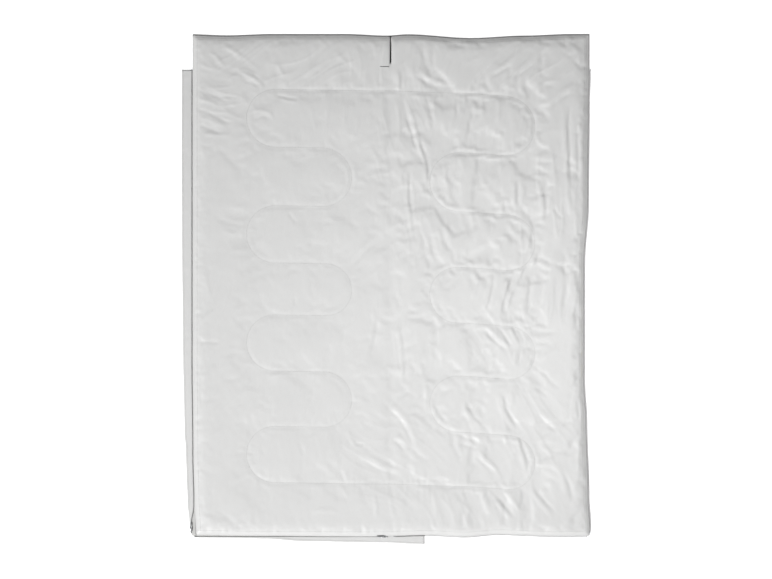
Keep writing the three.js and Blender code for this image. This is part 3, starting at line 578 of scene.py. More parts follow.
# The long folds that lie in the lining: (height, half width) and the places they run through, all in
# millimetres, across from the fold line and down from the head edge. A negative height is a sunk line.
FOLDS = [
    # from the foot of the slit down the middle
    (3.0, 8, (30, 130), (27, 185), (30, 225)), (-2.0, 6, (48, 140), (40, 190), (38, 225)),
    (-3.4, 7, (40, 228), (72, 340), (104, 460)), (2.6, 8, (58, 228), (90, 345), (122, 466)),
    (2.0, 7, (22, 235), (34, 330), (28, 420)),
    (-2.6, 6, (98, 370), (128, 440), (146, 488), (140, 566), (157, 612)),
    (2.6, 7, (86, 374), (118, 452), (134, 500), (128, 570)),
    (2.2, 8, (62, 500), (60, 600), (78, 740), (90, 800)),
    (-2.4, 6, (74, 500), (71, 600), (82, 690)), (1.6, 9, (57, 478), (40, 530), (29, 566)),
    (1.8, 9, (-12, 380), (-28, 440), (-60, 500)), (1.6, 8, (170, 720), (186, 760), (196, 822)),
    (1.8, 7, (202, 478), (206, 520), (203, 566)), (1.6, 8, (216, 680), (212, 720), (207, 766)),
    # right of the slit, above the first row
    (-2.8, 7, (79, 144), (150, 190), (212, 212), (279, 217)), (2.0, 9, (90, 120), (150, 168), (230, 196)),
    (3.4, 8, (288, 222), (312, 172), (345, 128), (402, 66)),
    (-3.0, 7, (300, 226), (326, 176), (362, 130), (416, 72)),
    (2.8, 8, (366, 158), (400, 132), (448, 104), (500, 56)), (-2.4, 7, (378, 166), (412, 140), (462, 112)),
    (2.8, 9, (446, 158), (486, 132), (540, 94), (580, 44)), (-2.2, 7, (458, 168), (500, 140), (552, 104)),
    (2.2, 9, (520, 206), (556, 168), (600, 96)), (2.4, 10, (586, 270), (628, 228), (668, 200), (704, 190)),
    (-2.2, 8, (600, 282), (640, 240), (690, 214)), (1.8, 8, (420, 205), (448, 178), (470, 160)),
    # left of the slit
    (-2.2, 8, (-575, 156), (-530, 182), (-484, 196)), (2.0, 9, (-566, 140), (-520, 160), (-470, 190)),
    (-2.0, 7, (-526, 144), (-494, 168), (-462, 196)), (1.8, 8, (-431, 108), (-412, 138), (-402, 170)),
    (2.0, 9, (-330, 170), (-306, 140), (-276, 110)), (-1.8, 8, (-318, 182), (-290, 150), (-262, 122)),
    (2.0, 9, (-628, 40), (-590, 66), (-552, 100)), (1.8, 8, (-690, 60), (-650, 90), (-618, 130)),
    (1.6, 9, (-210, 60), (-190, 90), (-150, 110)), (1.5, 8, (-110, 150), (-80, 120), (-60, 80)),
    (-2.0, 7, (-735, 208), (-680, 226), (-606, 258)), (1.8, 8, (-735, 238), (-690, 250), (-640, 276)),
    (-2.2, 7, (-735, 276), (-664, 306), (-596, 336)), (2.0, 8, (-735, 306), (-670, 330), (-610, 348)),
    (-1.8, 7, (-735, 334), (-680, 356), (-626, 380)), (1.6, 8, (-735, 366), (-670, 380), (-590, 376)),
    (-1.8, 5, (-440, 224), (-400, 238), (-344, 244)), (1.4, 6, (-430, 236), (-390, 250), (-340, 256)),
    (1.4, 7, (-548, 300), (-500, 280), (-448, 300), (-440, 340)),
    (-1.4, 6, (-520, 330), (-490, 305), (-450, 318)),
    # the left half's middle
    (1.2, 8, (-298, 262), (-292, 310), (-280, 372)), (1.2, 8, (-232, 256), (-240, 320), (-252, 380)),
    (1.3, 8, (-160, 250), (-176, 310), (-180, 360)), (1.2, 8, (-120, 300), (-128, 360), (-150, 410)),
    (1.4, 7, (-165, 484), (-156, 540), (-170, 590), (-192, 626)),
    (1.3, 8, (-140, 500), (-128, 560), (-150, 610)),
    (-1.6, 6, (-390, 668), (-372, 690), (-352, 716)), (1.5, 10, (-176, 882), (-120, 816), (-46, 742)),
    (-1.6, 8, (-164, 892), (-108, 828), (-60, 780)), (1.3, 9, (-146, 920), (-110, 884)),
    (-1.6, 5, (-360, 988), (-362, 1024)), (1.2, 9, (-640, 740), (-600, 748), (-545, 756)),
    (-1.5, 7, (-735, 1156), (-690, 1159), (-632, 1160)), (1.4, 9, (-720, 1300), (-690, 1276), (-656, 1236)),
    (1.3, 9, (-722, 1090), (-690, 1060), (-660, 1036)), (1.2, 9, (-712, 880), (-690, 940), (-680, 1010)),
    (1.6, 9, (-60, 1018), (-64, 1110), (-92, 1222)), (-1.5, 8, (-46, 1030), (-50, 1120), (-76, 1216)),
    (1.8, 9, (22, 1070), (38, 1176), (46, 1342)), (-1.4, 8, (38, 1080), (54, 1190), (60, 1320)),
    (1.4, 10, (-470, 1300), (-420, 1276), (-380, 1260)),
    (-1.3, 8, (-350, 1520), (-336, 1560), (-330, 1590)),
    # the lower middle
    (-1.9, 7, (-34, 1378), (20, 1436), (58, 1484), (98, 1580)),
    (1.6, 9, (-14, 1372), (36, 1424), (76, 1478), (112, 1574)),
    (-1.5, 6, (-120, 1594), (-60, 1630), (0, 1652), (58, 1678)),
    (1.4, 8, (-112, 1576), (-50, 1612), (64, 1656)),
    (-2.0, 5, (-144, 1540), (-116, 1545), (-92, 1542)), (1.6, 8, (-166, 1480), (-150, 1520), (-126, 1560)),
    (-2.2, 6, (4, 1520), (34, 1548), (62, 1570)), (1.8, 7, (14, 1508), (46, 1530), (74, 1560)),
    (-2.4, 6, (134, 1404), (166, 1460), (216, 1492), (272, 1512), (356, 1556)),
    (2.2, 8, (146, 1394), (182, 1448), (226, 1478), (290, 1502), (366, 1540)),
    (1.8, 8, (128, 1300), (138, 1360), (134, 1404)), (-1.8, 6, (240, 1540), (290, 1550), (340, 1566)),
    (1.6, 8, (-62, 1722), (-56, 1770), (-52, 1832)), (1.6, 8, (-6, 1722), (4, 1770), (14, 1832)),
    (1.4, 8, (-190, 1690), (-170, 1720), (-160, 1750)), (-1.6, 6, (-188, 1640), (-180, 1660), (-172, 1690)),
    (-1.8, 8, (-590, 1850), (-564, 1862), (-538, 1872)),
    (1.4, 10, (-300, 1800), (-250, 1790), (-190, 1800)),
    # the right-hand side, long folds that run down it
    (2.6, 10, (660, 246), (652, 340), (664, 470), (668, 610), (690, 766)),
    (-2.6, 8, (676, 250), (668, 350), (682, 600)),
    (2.2, 9, (712, 280), (722, 440), (720, 640)), (-2.0, 7, (700, 300), (708, 440), (706, 600)),
    (2.6, 8, (468, 544), (462, 600), (463, 656)), (2.4, 8, (500, 560), (497, 600), (494, 656)),
    (-2.2, 6, (482, 548), (480, 600), (478, 650)), (2.6, 8, (512, 678), (528, 730), (520, 790), (490, 868)),
    (-2.4, 7, (528, 690), (540, 740), (530, 800)), (2.4, 8, (484, 700), (494, 740), (486, 800)),
    (2.8, 9, (462, 886), (440, 930), (424, 976), (402, 1066)),
    (-2.6, 8, (476, 892), (454, 938), (438, 984), (418, 1066)),
    (2.6, 8, (512, 830), (484, 910), (446, 990), (436, 1050)),
    (-2.4, 7, (524, 842), (498, 920), (462, 1000)),
    (2.4, 9, (380, 884), (370, 960), (346, 1062)), (-2.2, 7, (394, 890), (384, 966), (362, 1060)),
    (1.8, 8, (330, 900), (322, 950), (300, 1010)),
    (3.6, 15, (626, 800), (606, 900), (596, 1000), (590, 1080)),
    (-3.6, 10, (590, 740), (556, 840), (532, 920), (519, 1010), (518, 1106)),
    (-3.2, 11, (648, 790), (664, 900), (662, 1000), (654, 1084)),
    (2.2, 12, (700, 850), (704, 950), (700, 1060)), (2.2, 9, (560, 560), (572, 640), (566, 730)),
    (-2.0, 7, (576, 570), (588, 640), (584, 720)), (2.0, 8, (600, 420), (616, 500), (622, 600)),
    (-1.8, 7, (606, 640), (632, 680), (650, 700)), (1.8, 9, (540, 300), (546, 360), (560, 420)),
    (2.0, 8, (340, 236), (346, 280), (342, 330)), (1.8, 7, (236, 232), (240, 266), (236, 300)),
    (1.6, 7, (160, 232), (164, 300), (158, 340)), (1.8, 8, (404, 232), (410, 280), (400, 340)),
    # the fan at the middle right
    (-2.8, 6, (334, 1096), (392, 1154), (448, 1200)), (2.6, 7, (346, 1086), (404, 1142), (458, 1186)),
    (-2.6, 6, (402, 1096), (436, 1140), (458, 1180)), (2.4, 7, (446, 1094), (466, 1134), (486, 1176)),
    (-2.4, 6, (470, 1096), (492, 1130), (506, 1166)), (2.4, 7, (490, 1094), (512, 1130), (534, 1166)),
    (2.4, 8, (478, 1180), (470, 1210), (462, 1250)), (-2.2, 6, (492, 1180), (486, 1215), (480, 1250)),
    (2.2, 8, (540, 1200), (530, 1230), (520, 1260)), (2.2, 10, (560, 1230), (600, 1200), (640, 1180)),
    (2.0, 9, (390, 1200), (380, 1240), (376, 1280)), (-2.2, 8, (560, 1260), (600, 1300), (640, 1340)),
    # the lower right
    (3.2, 10, (410, 1338), (416, 1400), (440, 1452), (480, 1500)),
    (-3.0, 8, (428, 1340), (434, 1400), (460, 1450), (500, 1500)),
    (3.0, 9, (470, 1500), (492, 1580), (514, 1664)), (-2.6, 7, (486, 1500), (508, 1580), (528, 1650)),
    (2.6, 8, (446, 1340), (462, 1372), (450, 1400)), (2.6, 9, (268, 1372), (292, 1440), (346, 1488)),
    (-2.4, 7, (284, 1370), (308, 1432), (358, 1476)), (2.8, 11, (556, 1410), (592, 1450), (648, 1482)),
    (-2.6, 8, (548, 1430), (586, 1468), (640, 1500)), (2.2, 9, (560, 1520), (576, 1560), (620, 1590)),
    (-2.6, 7, (316, 1580), (360, 1628), (398, 1660)), (2.2, 8, (330, 1570), (372, 1616), (410, 1650)),
    (2.8, 9, (366, 1710), (414, 1780), (462, 1832)), (-2.4, 7, (380, 1706), (430, 1774), (476, 1826)),
    (2.6, 9, (422, 1712), (470, 1770), (508, 1810)), (2.8, 9, (522, 1706), (560, 1760), (612, 1812)),
    (-2.4, 7, (536, 1700), (576, 1752), (626, 1802)), (2.0, 9, (260, 1712), (280, 1760), (300, 1820)),
    (2.0, 9, (160, 1712), (170, 1770), (176, 1830)), (-2.6, 9, (640, 1640), (676, 1700), (690, 1770)),
    (2.4, 12, (610, 1600), (650, 1660), (664, 1740)), (2.0, 10, (700, 1500), (712, 1600), (706, 1700)),
]
FOLD_SHARE = 0.78
# Patches of gathered cloth: place and reach in millimetres, the way the folds run, their spacing and height.
GATHERS = [
    (600, 700, 150, 560, 88, 34, 1.7), (500, 130, 270, 120, 50, 30, 2.1), (-620, 190, 150, 190, -28, 26, 1.5),
    (60, 520, 150, 420, 98, 32, 1.2), (500, 1540, 260, 280, -58, 36, 1.4), (0, 1600, 240, 230, -32, 32, 1.0),
    (400, 1130, 190, 140, -62, 28, 1.3), (-400, 950, 320, 620, 80, 60, 0.45),
    (20, 110, 260, 110, 72, 30, 1.6),
    (350, 1790, 380, 90, -66, 32, 1.1), (-400, 110, 330, 100, 35, 34, 1.5), (700, 900, 60, 700, 90, 30, 1.1),
    (330, 380, 260, 160, 85, 36, 0.9), (340, 600, 180, 130, 84, 40, 0.8), (-640, 1300, 110, 500, 60, 40, 0.7),
    (-420, 1480, 260, 300, 65, 54, 0.5), (0, 1200, 160, 260, 88, 38, 0.7),
]

CELL = 0.05
vertices_in_cell = {}
for vertex in lining.data.vertices:
    cell = (math.floor(vertex.co.x / CELL), math.floor(vertex.co.y / CELL))
    vertices_in_cell.setdefault(cell, []).append(vertex)
seams = [nearest_seam(vertex.co.x, vertex.co.y) for vertex in lining.data.vertices]
rises = [0.0] * len(lining.data.vertices)


def near_line(points, reach):
    """The lining's vertices whose cells lie within reach of the box round a line."""
    xs, ys = [p[0] for p in points], [p[1] for p in points]
    for i in range(math.floor((min(xs) - reach) / CELL), math.floor((max(xs) + reach) / CELL) + 1):
        for j in range(math.floor((min(ys) - reach) / CELL), math.floor((max(ys) + reach) / CELL) + 1):
            yield from vertices_in_cell.get((i, j), ())


def softened_line(points, passes=2):
    """The same line with its corners cut, so that it bends softly."""
    for _ in range(passes):
        cut = [points[0]]
        for a, b in zip(points, points[1:]):
            cut += [a.lerp(b, 0.25), a.lerp(b, 0.75)]
        points = cut + [points[-1]]
    return points


for height, half_width, *places in FOLDS:
    width = half_width * 0.001
    line = softened_line([Vector((FOLD + u * 0.001, HEAD - down * 0.001)) for u, down in places])
    spans = [(a, b - a, (b - a).length) for a, b in zip(line, line[1:])]
    whole = sum(length for _, _, length in spans)
    for vertex in near_line(line, 3 * width):
        wander = 0.35 * width * noise.noise(Vector((vertex.co.x * 30, vertex.co.y * 30, width * 900)))
        point = vertex.co.xy + Vector((wander, wander))
        best, share, done = 9.0, 0.0, 0.0
        for start, span, length in spans:
            t = min(max((point - start).dot(span) / length ** 2, 0.0), 1.0)
            distance = (point - start - span * t).length
            if distance < best:
                best, share = distance, (done + t * length) / whole
            done += length
        if best < 3 * width:
            taper = smooth(share / 0.3) * smooth((1 - share) / 0.3)
            rises[vertex.index] += FOLD_SHARE * height * 0.001 * taper * math.exp(-((best / width) ** 2))

for u, down, reach_x, reach_y, angle, spacing, height in GATHERS:
    centre = Vector((FOLD + u * 0.001, HEAD - down * 0.001))
    reach = Vector((reach_x * 0.001, reach_y * 0.001))
    turn, spacing = math.radians(angle), spacing * 0.001
    for vertex in near_line([centre - reach, centre + reach], 0.0):
        off = vertex.co.xy - centre
        fade = 1 - (off.x / reach.x) ** 2 - (off.y / reach.y) ** 2
        if fade > 0:
            run = (off.x * math.cos(turn) + off.y * math.sin(turn)) / (5 * spacing)
            across = (off.y * math.cos(turn) - off.x * math.sin(turn)) / spacing
            bend = noise.noise(Vector((run * 0.7, across * 0.2, angle)))
            wave = noise.noise(Vector((run, across + 1.6 * bend, angle * 0.37)))
            sharp = 1 - min(1.0, 2.6 * abs(wave))
            crest = 0.55 * wave + 0.75 * sharp * sharp - 0.2
            rises[vertex.index] += height * 0.001 * smooth(fade * 1.6) * crest

ROOF, LOWEST = HIGHEST - 0.0012, 0.0128
for vertex, seam in zip(lining.data.vertices, seams):
    x, y = vertex.co.x, vertex.co.y
    edge = edge_distance(x, y)
    distance, along, pull = seam
    tight = smooth((edge - 0.006) / 0.035) * (1 - 0.85 * math.exp(-((distance / 0.008) ** 2)))
    stitch_pucker = 0.0014 * pull * noise.noise(Vector((along * 75, distance * 14, 2)))
    stitch_pucker *= math.exp(-distance / 0.022)
    rim_pucker = 0.0018 * noise.noise(Vector((x * 60, y * 60, 5)))
    rim_pucker *= math.exp(-edge / 0.035) * smooth(edge / 0.012)
    crinkle = 0.0007 * noise.noise(Vector((x * 17, y * 12, 9)))
    crinkle += 0.0003 * noise.noise(Vector((x * 48, y * 34, 4)))
    rise = rises[vertex.index] * tight + (stitch_pucker + crinkle) * tight + rim_pucker
    z = vertex.co.z + rise
    if z > ROOF:
        z = ROOF + (HIGHEST - ROOF) * (1 - math.exp((ROOF - z) / (HIGHEST - ROOF)))
    vertex.co.z = max(z, LOWEST if edge > 0.03 else RIM_LEVEL - 0.0004)
    if edge < SEAM_ALLOWANCE + 0.0012:
        vertex.co.z = min(vertex.co.z, RIM_LEVEL + 0.0003)

SATIN_GREY = (0.66, 0.66, 0.655)
satin_cloth = woven("pale_grey_satin", SATIN_GREY, 0.0006, 0.00003, 0.022, 0.42, 0.20, True, 0.8)
lining_surface = BVHTree.FromObject(lining, bpy.context.evaluated_depsgraph_get())
lining_points = KDTree(len(lining.data.vertices))
for vertex in lining.data.vertices:
    lining_points.insert((vertex.co.x, vertex.co.y, 0), vertex.index)
lining_points.balance()
lining_heights = [vertex.co.z for vertex in lining.data.vertices]
thicken(lining, LINING_T, -1)
dress(lining, satin_cloth)
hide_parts("back_lining", "cover_lining", "fold_lining_strip")
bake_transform(lining)

# The padding under the lining: soft white polyester wadding, pressed thin along the quilted lines, and over
# it the thin film that keeps moisture out. Both stop short of the sewn edges and of the fold.
FILM_T = 0.0002
FILM_CLEAR, WADDING_CLEAR = 0.0003, 0.0009  # under the lining
PAD_STEP = 0.020


def under_lining(x, y, drop):
    """A height that clears the lining's under side everywhere near this place."""
    nearby = lining_points.find_range((x, y, 0), 0.75 * PAD_STEP)
    return min(lining_heights[index] for _, index, _ in nearby) - LINING_T - drop


def pad_grid(name, node):
    low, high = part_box(node)
    across, along = round((high.x - low.x) / PAD_STEP), round((high.y - low.y) / PAD_STEP)
    bpy.ops.mesh.primitive_grid_add(x_subdivisions=across, y_subdivisions=along, size=1)
    piece = bpy.context.object
    piece.name = name
    for vertex in piece.data.vertices:
        x = low.x + (vertex.co.x + 0.5) * (high.x - low.x)
        y = low.y + (vertex.co.y + 0.5) * (high.y - low.y)
        drawn_x, drawn_y = panel_place((x - LEFT) / (RIGHT - LEFT), (y - FOOT) / (HEAD - FOOT))
        vertex.co = (drawn_x, drawn_y, 0)
    return piece


soft_wadding = granular(
    "white_polyester_wadding", (0.90, 0.90, 0.89), 0.95, 0, 420, 0.0008, 0.05, 0.2, (1, 2, 2),
)
clear_film = granular("moisture_film", (0.86, 0.89, 0.90), 0.3, 0, 90, 0.0003, 0.03)
WADDING_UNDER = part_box("cover_heating_wire")[1].z + 0.0003
for half in ("back", "cover"):
    wadding = pad_grid(f"{half}_wadding", f"{half}_comfort_wadding")
    bpy.ops.object.mode_set(mode="EDIT")
    bpy.ops.mesh.select_all(action="SELECT")
    bpy.ops.mesh.extrude_region_move(TRANSFORM_OT_translate={"value": (0, 0, 1)})
    bpy.ops.mesh.select_all(action="SELECT")
    bpy.ops.mesh.normals_make_consistent(inside=False)
    bpy.ops.object.mode_set(mode="OBJECT")
    for vertex in wadding.data.vertices:
        upper = vertex.co.z > 0.5
        top = max(under_lining(vertex.co.x, vertex.co.y, WADDING_CLEAR), WADDING_UNDER + 0.0002)
        vertex.co.z = top if upper else WADDING_UNDER
    dress(wadding, soft_wadding)
    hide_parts(f"{half}_comfort_wadding")
    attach(wadding, f"{half}_half")

    film = pad_grid(f"{half}_film", f"{half}_moisture_film")
    for vertex in film.data.vertices:
        top = under_lining(vertex.co.x, vertex.co.y, FILM_CLEAR)
        vertex.co.z = max(top, WADDING_UNDER + 0.0005)
    across = [vertex.co.x for vertex in film.data.vertices]
    along = [vertex.co.y for vertex in film.data.vertices]
    thicken(film, FILM_T, -1)
    dress(film, clear_film)
    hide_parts(f"{half}_moisture_film")
    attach(film, f"{half}_half")

# The slit's bindings: a strip of shell cloth turned in on each side of the neck slit, leaning together into
# the fold so that the opening reads as one dark line. A dense bar of zigzag stitching holds the slit's foot.
BINDING_T = 0.0005
BINDING_STEPS = 24
shell_binding = woven("charcoal_binding_cloth", (0.024, 0.025, 0.027), 0.0007, 0.00012, 0.25, 0.7, 0.1)


def new_piece(name, points, faces):
    mesh = bpy.data.meshes.new(name)
    mesh.from_pydata(points, [], faces)
    piece = bpy.data.objects.new(name, mesh)
    scene.collection.objects.link(piece)
    return piece


def strip_mesh(name, rows):
    """A strip of cloth through rows of points, each row running across the strip."""
    wide = len(rows[0])
    faces = [
        (i * wide + j, i * wide + j + 1, (i + 1) * wide + j + 1, (i + 1) * wide + j)
        for i in range(len(rows) - 1) for j in range(wide - 1)
    ]
    return new_piece(name, [point for row in rows for point in row], faces)


def lining_at(x, y):
    """The place and the normal of the lining's upper face over this place in plan."""
    place, normal, _, _ = lining_surface.ray_cast(Vector((x, y, 0.1)), Vector((0, 0, -1)))
    return (place, normal) if place else (Vector((x, y, RIM_LEVEL)), Vector((0, 0, 1)))


for half, side in (("back", -1), ("cover", 1)):
    rows = []
    top_y = head_edge(FOLD) - 0.001
    for station in range(BINDING_STEPS + 1):
        y = SLIT_FOOT - 0.001 + station / BINDING_STEPS * (top_y - SLIT_FOOT + 0.001)
        gap = slit_half_gap(y) * smooth((y - SLIT_FOOT + 0.002) / 0.006)
        lip = lining_at(FOLD + side * (gap + 0.0018), y)[0].z - LINING_T - 0.0004
        foot_z = max(shell_height(FOLD, y) + SHELL_T, 0.0010) + 0.0002
        across = [(gap + 0.0012, lip), (gap, lip - 0.0006), (0.86 * gap + 0.0001, 0.8 * lip)]
        across += [(0.45 * gap + 0.0002, 0.5 * (lip + foot_z)), (0.00015, foot_z + 0.0004), (0.0016, foot_z)]
        rows.append([(FOLD + side * u, y, z) for u, z in (across if side < 0 else across[::-1])])
    binding = strip_mesh(f"{half}_slit_binding_strip", rows)
    thicken(binding, BINDING_T, -1)
    dress(binding, shell_binding)
    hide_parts(f"{half}_slit_binding")
    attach(binding, f"{half}_half")


def thread_form(length, radius):
    """One stitch as (points, faces): a short thread whose ends dip into the cloth."""
    bpy.ops.mesh.primitive_cylinder_add(vertices=6, radius=radius, depth=length, rotation=(0, math.pi / 2, 0))
    form = bpy.context.object
    bpy.ops.object.transform_apply(rotation=True)
    bpy.ops.object.mode_set(mode="EDIT")
    bpy.ops.mesh.select_all(action="SELECT")
    bpy.ops.mesh.bisect(plane_co=(0, 0, 0), plane_no=(1, 0, 0))
    bpy.ops.object.mode_set(mode="OBJECT")
    for vertex in form.data.vertices:
        if abs(vertex.co.x) > length / 4:
            vertex.co.y *= 0.5
            vertex.co.z = 0.5 * vertex.co.z - radius
    return take_form(form)


def take_form(form):
    points = [vertex.co.copy() for vertex in form.data.vertices]
    faces = [tuple(face.vertices) for face in form.data.polygons]
    bpy.data.objects.remove(form)
    return points, faces


def stamped(name, form, places):
    """One mesh of many copies of a form. Each place is a point, a direction for its X and one for its Z."""
    points, faces = [], []
    for origin, along, up in places:
        side = up.cross(along).normalized()
        up = along.cross(side).normalized()
        start = len(points)
        points += [origin + along * p.x + side * p.y + up * p.z for p in form[0]]
        faces += [tuple(start + index for index in face) for face in form[1]]
    return new_piece(name, points, faces)


def on_lining(x, y, dx, dy, lift):
    """Where a stitch that runs towards (dx, dy) lies on the lining."""
    place, normal = lining_at(x, y)
    along = Vector((dx, dy, 0))
    along = (along - normal * along.dot(normal)).normalized()
    return place + normal * lift, along, normal


tack_low, tack_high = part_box("slit_bar_tack")
TACK_SPACING, TACK_THREAD_R = 0.00055, 0.00034
TACK_LIFT, TACK_SLANT = 0.0004, 0.18
tack_form = thread_form(tack_high.y - tack_low.y, TACK_THREAD_R)
tack_y = (tack_low.y + tack_high.y) / 2
tack_count = int((tack_high.x - tack_low.x) / TACK_SPACING)
tack_thread = granular("charcoal_thread", (0.05, 0.052, 0.056), 0.6, 0, 1500, 0.00008, 0.2)
bar_tack = stamped("slit_bar_tack_stitches", tack_form, [
    on_lining(tack_low.x + i * TACK_SPACING, tack_y, TACK_SLANT * (-1) ** i, 1, TACK_LIFT)
    for i in range(tack_count)
])
dress(bar_tack, tack_thread)
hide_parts("slit_bar_tack")
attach(bar_tack, "back_half")

# The sewing on the lining: a lockstitch along every quilted line, and a topstitch that holds the border's
# turned seam allowance. The thread is a grey polyester, darker than the satin.
STITCH_LENGTH, STITCH_PITCH = 0.0042, 0.0058
TOPSTITCH_INSET = 0.018
THREAD_R, THREAD_LIFT = 0.00042, 0.0002
stitch_form = thread_form(STITCH_LENGTH, THREAD_R)
grey_thread = granular("grey_thread", (0.30, 0.30, 0.295), 0.6, 0, 1500, 0.00008, 0.1)
stitches = []
for side, (runs, turns) in QUILTING.items():
    for inner, outer, row, _ in runs:
        for i in range(int((outer - inner) / STITCH_PITCH)):
            x = FOLD + side * (inner + (i + 0.5) * STITCH_PITCH)
            stitches.append(on_lining(x, row + run_through(ROW_LEAN, x), 1, 0, THREAD_LIFT))
    for centre, middle, radius, outwards, _ in turns:
        count = int(math.pi * radius / STITCH_PITCH)
        for i in range(count):
            angle = math.pi * ((i + 0.5) / count - 0.5)
            u = centre + (radius if outwards else -radius) * math.cos(angle)
            x, y = FOLD + side * u, middle + radius * math.sin(angle)
            dx = side * (1 if outwards else -1) * -math.sin(angle)
            stitches.append(on_lining(x, y + run_through(ROW_LEAN, x), dx, math.cos(angle), THREAD_LIFT))
down_side = int((HEAD - FOOT - 2 * TOPSTITCH_INSET) / STITCH_PITCH)
across_end = int((RIGHT - LEFT - 2 * TOPSTITCH_INSET) / STITCH_PITCH)
for i in range(down_side):
    y = FOOT + TOPSTITCH_INSET + (i + 0.5) * STITCH_PITCH
    for x in (left_edge(y) + TOPSTITCH_INSET, right_edge(y) - TOPSTITCH_INSET):
        stitches.append(on_lining(x, y, 0, 1, THREAD_LIFT))
for i in range(across_end):
    x = LEFT + TOPSTITCH_INSET + (i + 0.5) * STITCH_PITCH
    stitches.append(on_lining(x, foot_edge(x) + TOPSTITCH_INSET, 1, 0, THREAD_LIFT))
    if abs(x - FOLD) > 0.009:
        stitches.append(on_lining(x, head_edge(x) - TOPSTITCH_INSET, 1, 0, THREAD_LIFT))
stitching = stamped("lining_stitching", stitch_form, stitches)
dress(stitching, grey_thread)
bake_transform(stitching)

# The zips: in each half, one row of nylon coil down the side edge and one along the foot edge, woven to
# a tape that is sewn in between the shell and the lining. The coil's mid grey is partly painted shade. Rows
# follow the drawn-in edges, but the back half's foot row and the first stretch of its side row run straight,
# for the sliders.
TAPE_IN = 0.018
TAPE_T = 0.0006
TAPE_SECTION = [(-TAPE_IN, 0), (-0.5 * TAPE_IN, 0), (-0.0022, 0), (-0.0010, 0.0002), (0.0002, 0.0002)]
TOOTH = Vector((0.0016, 0.0040, 0.0024))
TOOTH_PITCH = 0.0026
bpy.ops.mesh.primitive_cube_add(size=1)
tooth = bpy.context.object
tooth.scale = TOOTH
bpy.ops.object.transform_apply(scale=True)
for vertex in tooth.data.vertices:
    vertex.co.x *= 1.25 if vertex.co.y > 0 else 0.7
edge_round = tooth.modifiers.new("edge_round", "BEVEL")
edge_round.width = 0.0004
edge_round.segments = 1
apply_all(tooth)
tooth_form = take_form(tooth)
# The coil's mid grey is partly the nylon's own colour and partly painted shade. It is darker so that it
# stands for the shadow line where the lining's edge meets the zip.
coil_nylon_and_gap_shade = granular("grey_nylon_coil_and_painted_gap_shade", (0.26, 0.26, 0.258), 0.38, 0, 1200, 0.00004, 0.15)
tape_weave = woven("pale_zip_tape", (0.55, 0.55, 0.54), 0.0006, 0.0001, 0.06, 0.75, 0.1)

STRAIGHT_BELOW, STRAIGHT_FADE = -0.885, 0.08


def back_side_place(along, out):
    """Where the back half's side row runs: straight at its foot end, and drawn in with the edge above."""
    drawn_in = run_through(LEFT_DRAW, along) * smooth((along - STRAIGHT_BELOW) / STRAIGHT_FADE)
    return LEFT - out + drawn_in, along


ZIP_EDGES = {
    ("back", "side"): back_side_place,
    ("back", "foot"): lambda along, out: (along, FOOT - out),
    ("cover", "side"): lambda along, out: (right_edge(along) + out, along),
    ("cover", "foot"): lambda along, out: (along, foot_edge(along) - out),
}
for (half, edge), place in ZIP_EDGES.items():
    axis = 1 if edge == "side" else 0
    low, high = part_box(f"{half}_{edge}_zip_coil")
    coil_z = (low.z + high.z) / 2
    middle_out = 0.0003 + TOOTH.y / 2
    teeth = []
    for i in range(int((high[axis] - low[axis]) / TOOTH_PITCH)):
        at = low[axis] + (i + 0.5) * TOOTH_PITCH
        here, further = Vector((*place(at, middle_out), 0)), Vector((*place(at, middle_out + 0.01), 0))
        out = (further - here).normalized()
        teeth.append((here + Vector((0, 0, coil_z)), out.cross(Vector((0, 0, 1))), Vector((0, 0, 1))))
    coil = stamped(f"{half}_{edge}_coil_teeth", tooth_form, teeth)
    dress(coil, coil_nylon_and_gap_shade)
    select_only(coil)
    bpy.ops.object.shade_smooth_by_angle(angle=math.radians(40))
    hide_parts(f"{half}_{edge}_zip_coil")
    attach(coil, f"{half}_half")

    low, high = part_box(f"{half}_{edge}_zip_tape")
    steps = round((high[axis] - low[axis]) / 0.010)
    rows = []
    for i in range(steps + 1):
        at = low[axis] + i / steps * (high[axis] - low[axis])
        rows.append([(*place(at, out), low.z + rise) for out, rise in TAPE_SECTION])
    tape = strip_mesh(f"{half}_{edge}_tape_strip", rows)
    if tape.data.polygons[0].normal.z < 0:
        tape.data.flip_normals()
    thicken(tape, TAPE_T, 1)
    dress(tape, tape_weave)
    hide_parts(f"{half}_{edge}_zip_tape")
    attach(tape, f"{half}_half")

# The zips' metal: die-cast stops, retainer boxes and insertion pins at the ends of each row, and a slider
# with a pull tab on each of the back half's rows, all in a satin nickel finish.
nickel = granular("satin_nickel", (0.33, 0.335, 0.34), 0.36, 1.0, 1100, 0.00003, 0.12)
for edge in ("side", "foot"):
    rounded_copy(f"back_{edge}_zip_retainer_box", 0.0004, nickel, "back_half")
    rounded_copy(f"cover_{edge}_zip_insertion_pin", 0.0004, nickel, "cover_half")
    for half in ("back", "cover"):
        rounded_copy(f"{half}_{edge}_zip_top_stop", 0.0004, nickel, f"{half}_half")
    rounded_copy(f"{edge}_zip_slider", 0.00025, nickel, f"{edge}_slider")
    rounded_copy(f"{edge}_zip_pull_tab", 0.00035, nickel, f"{edge}_tab")

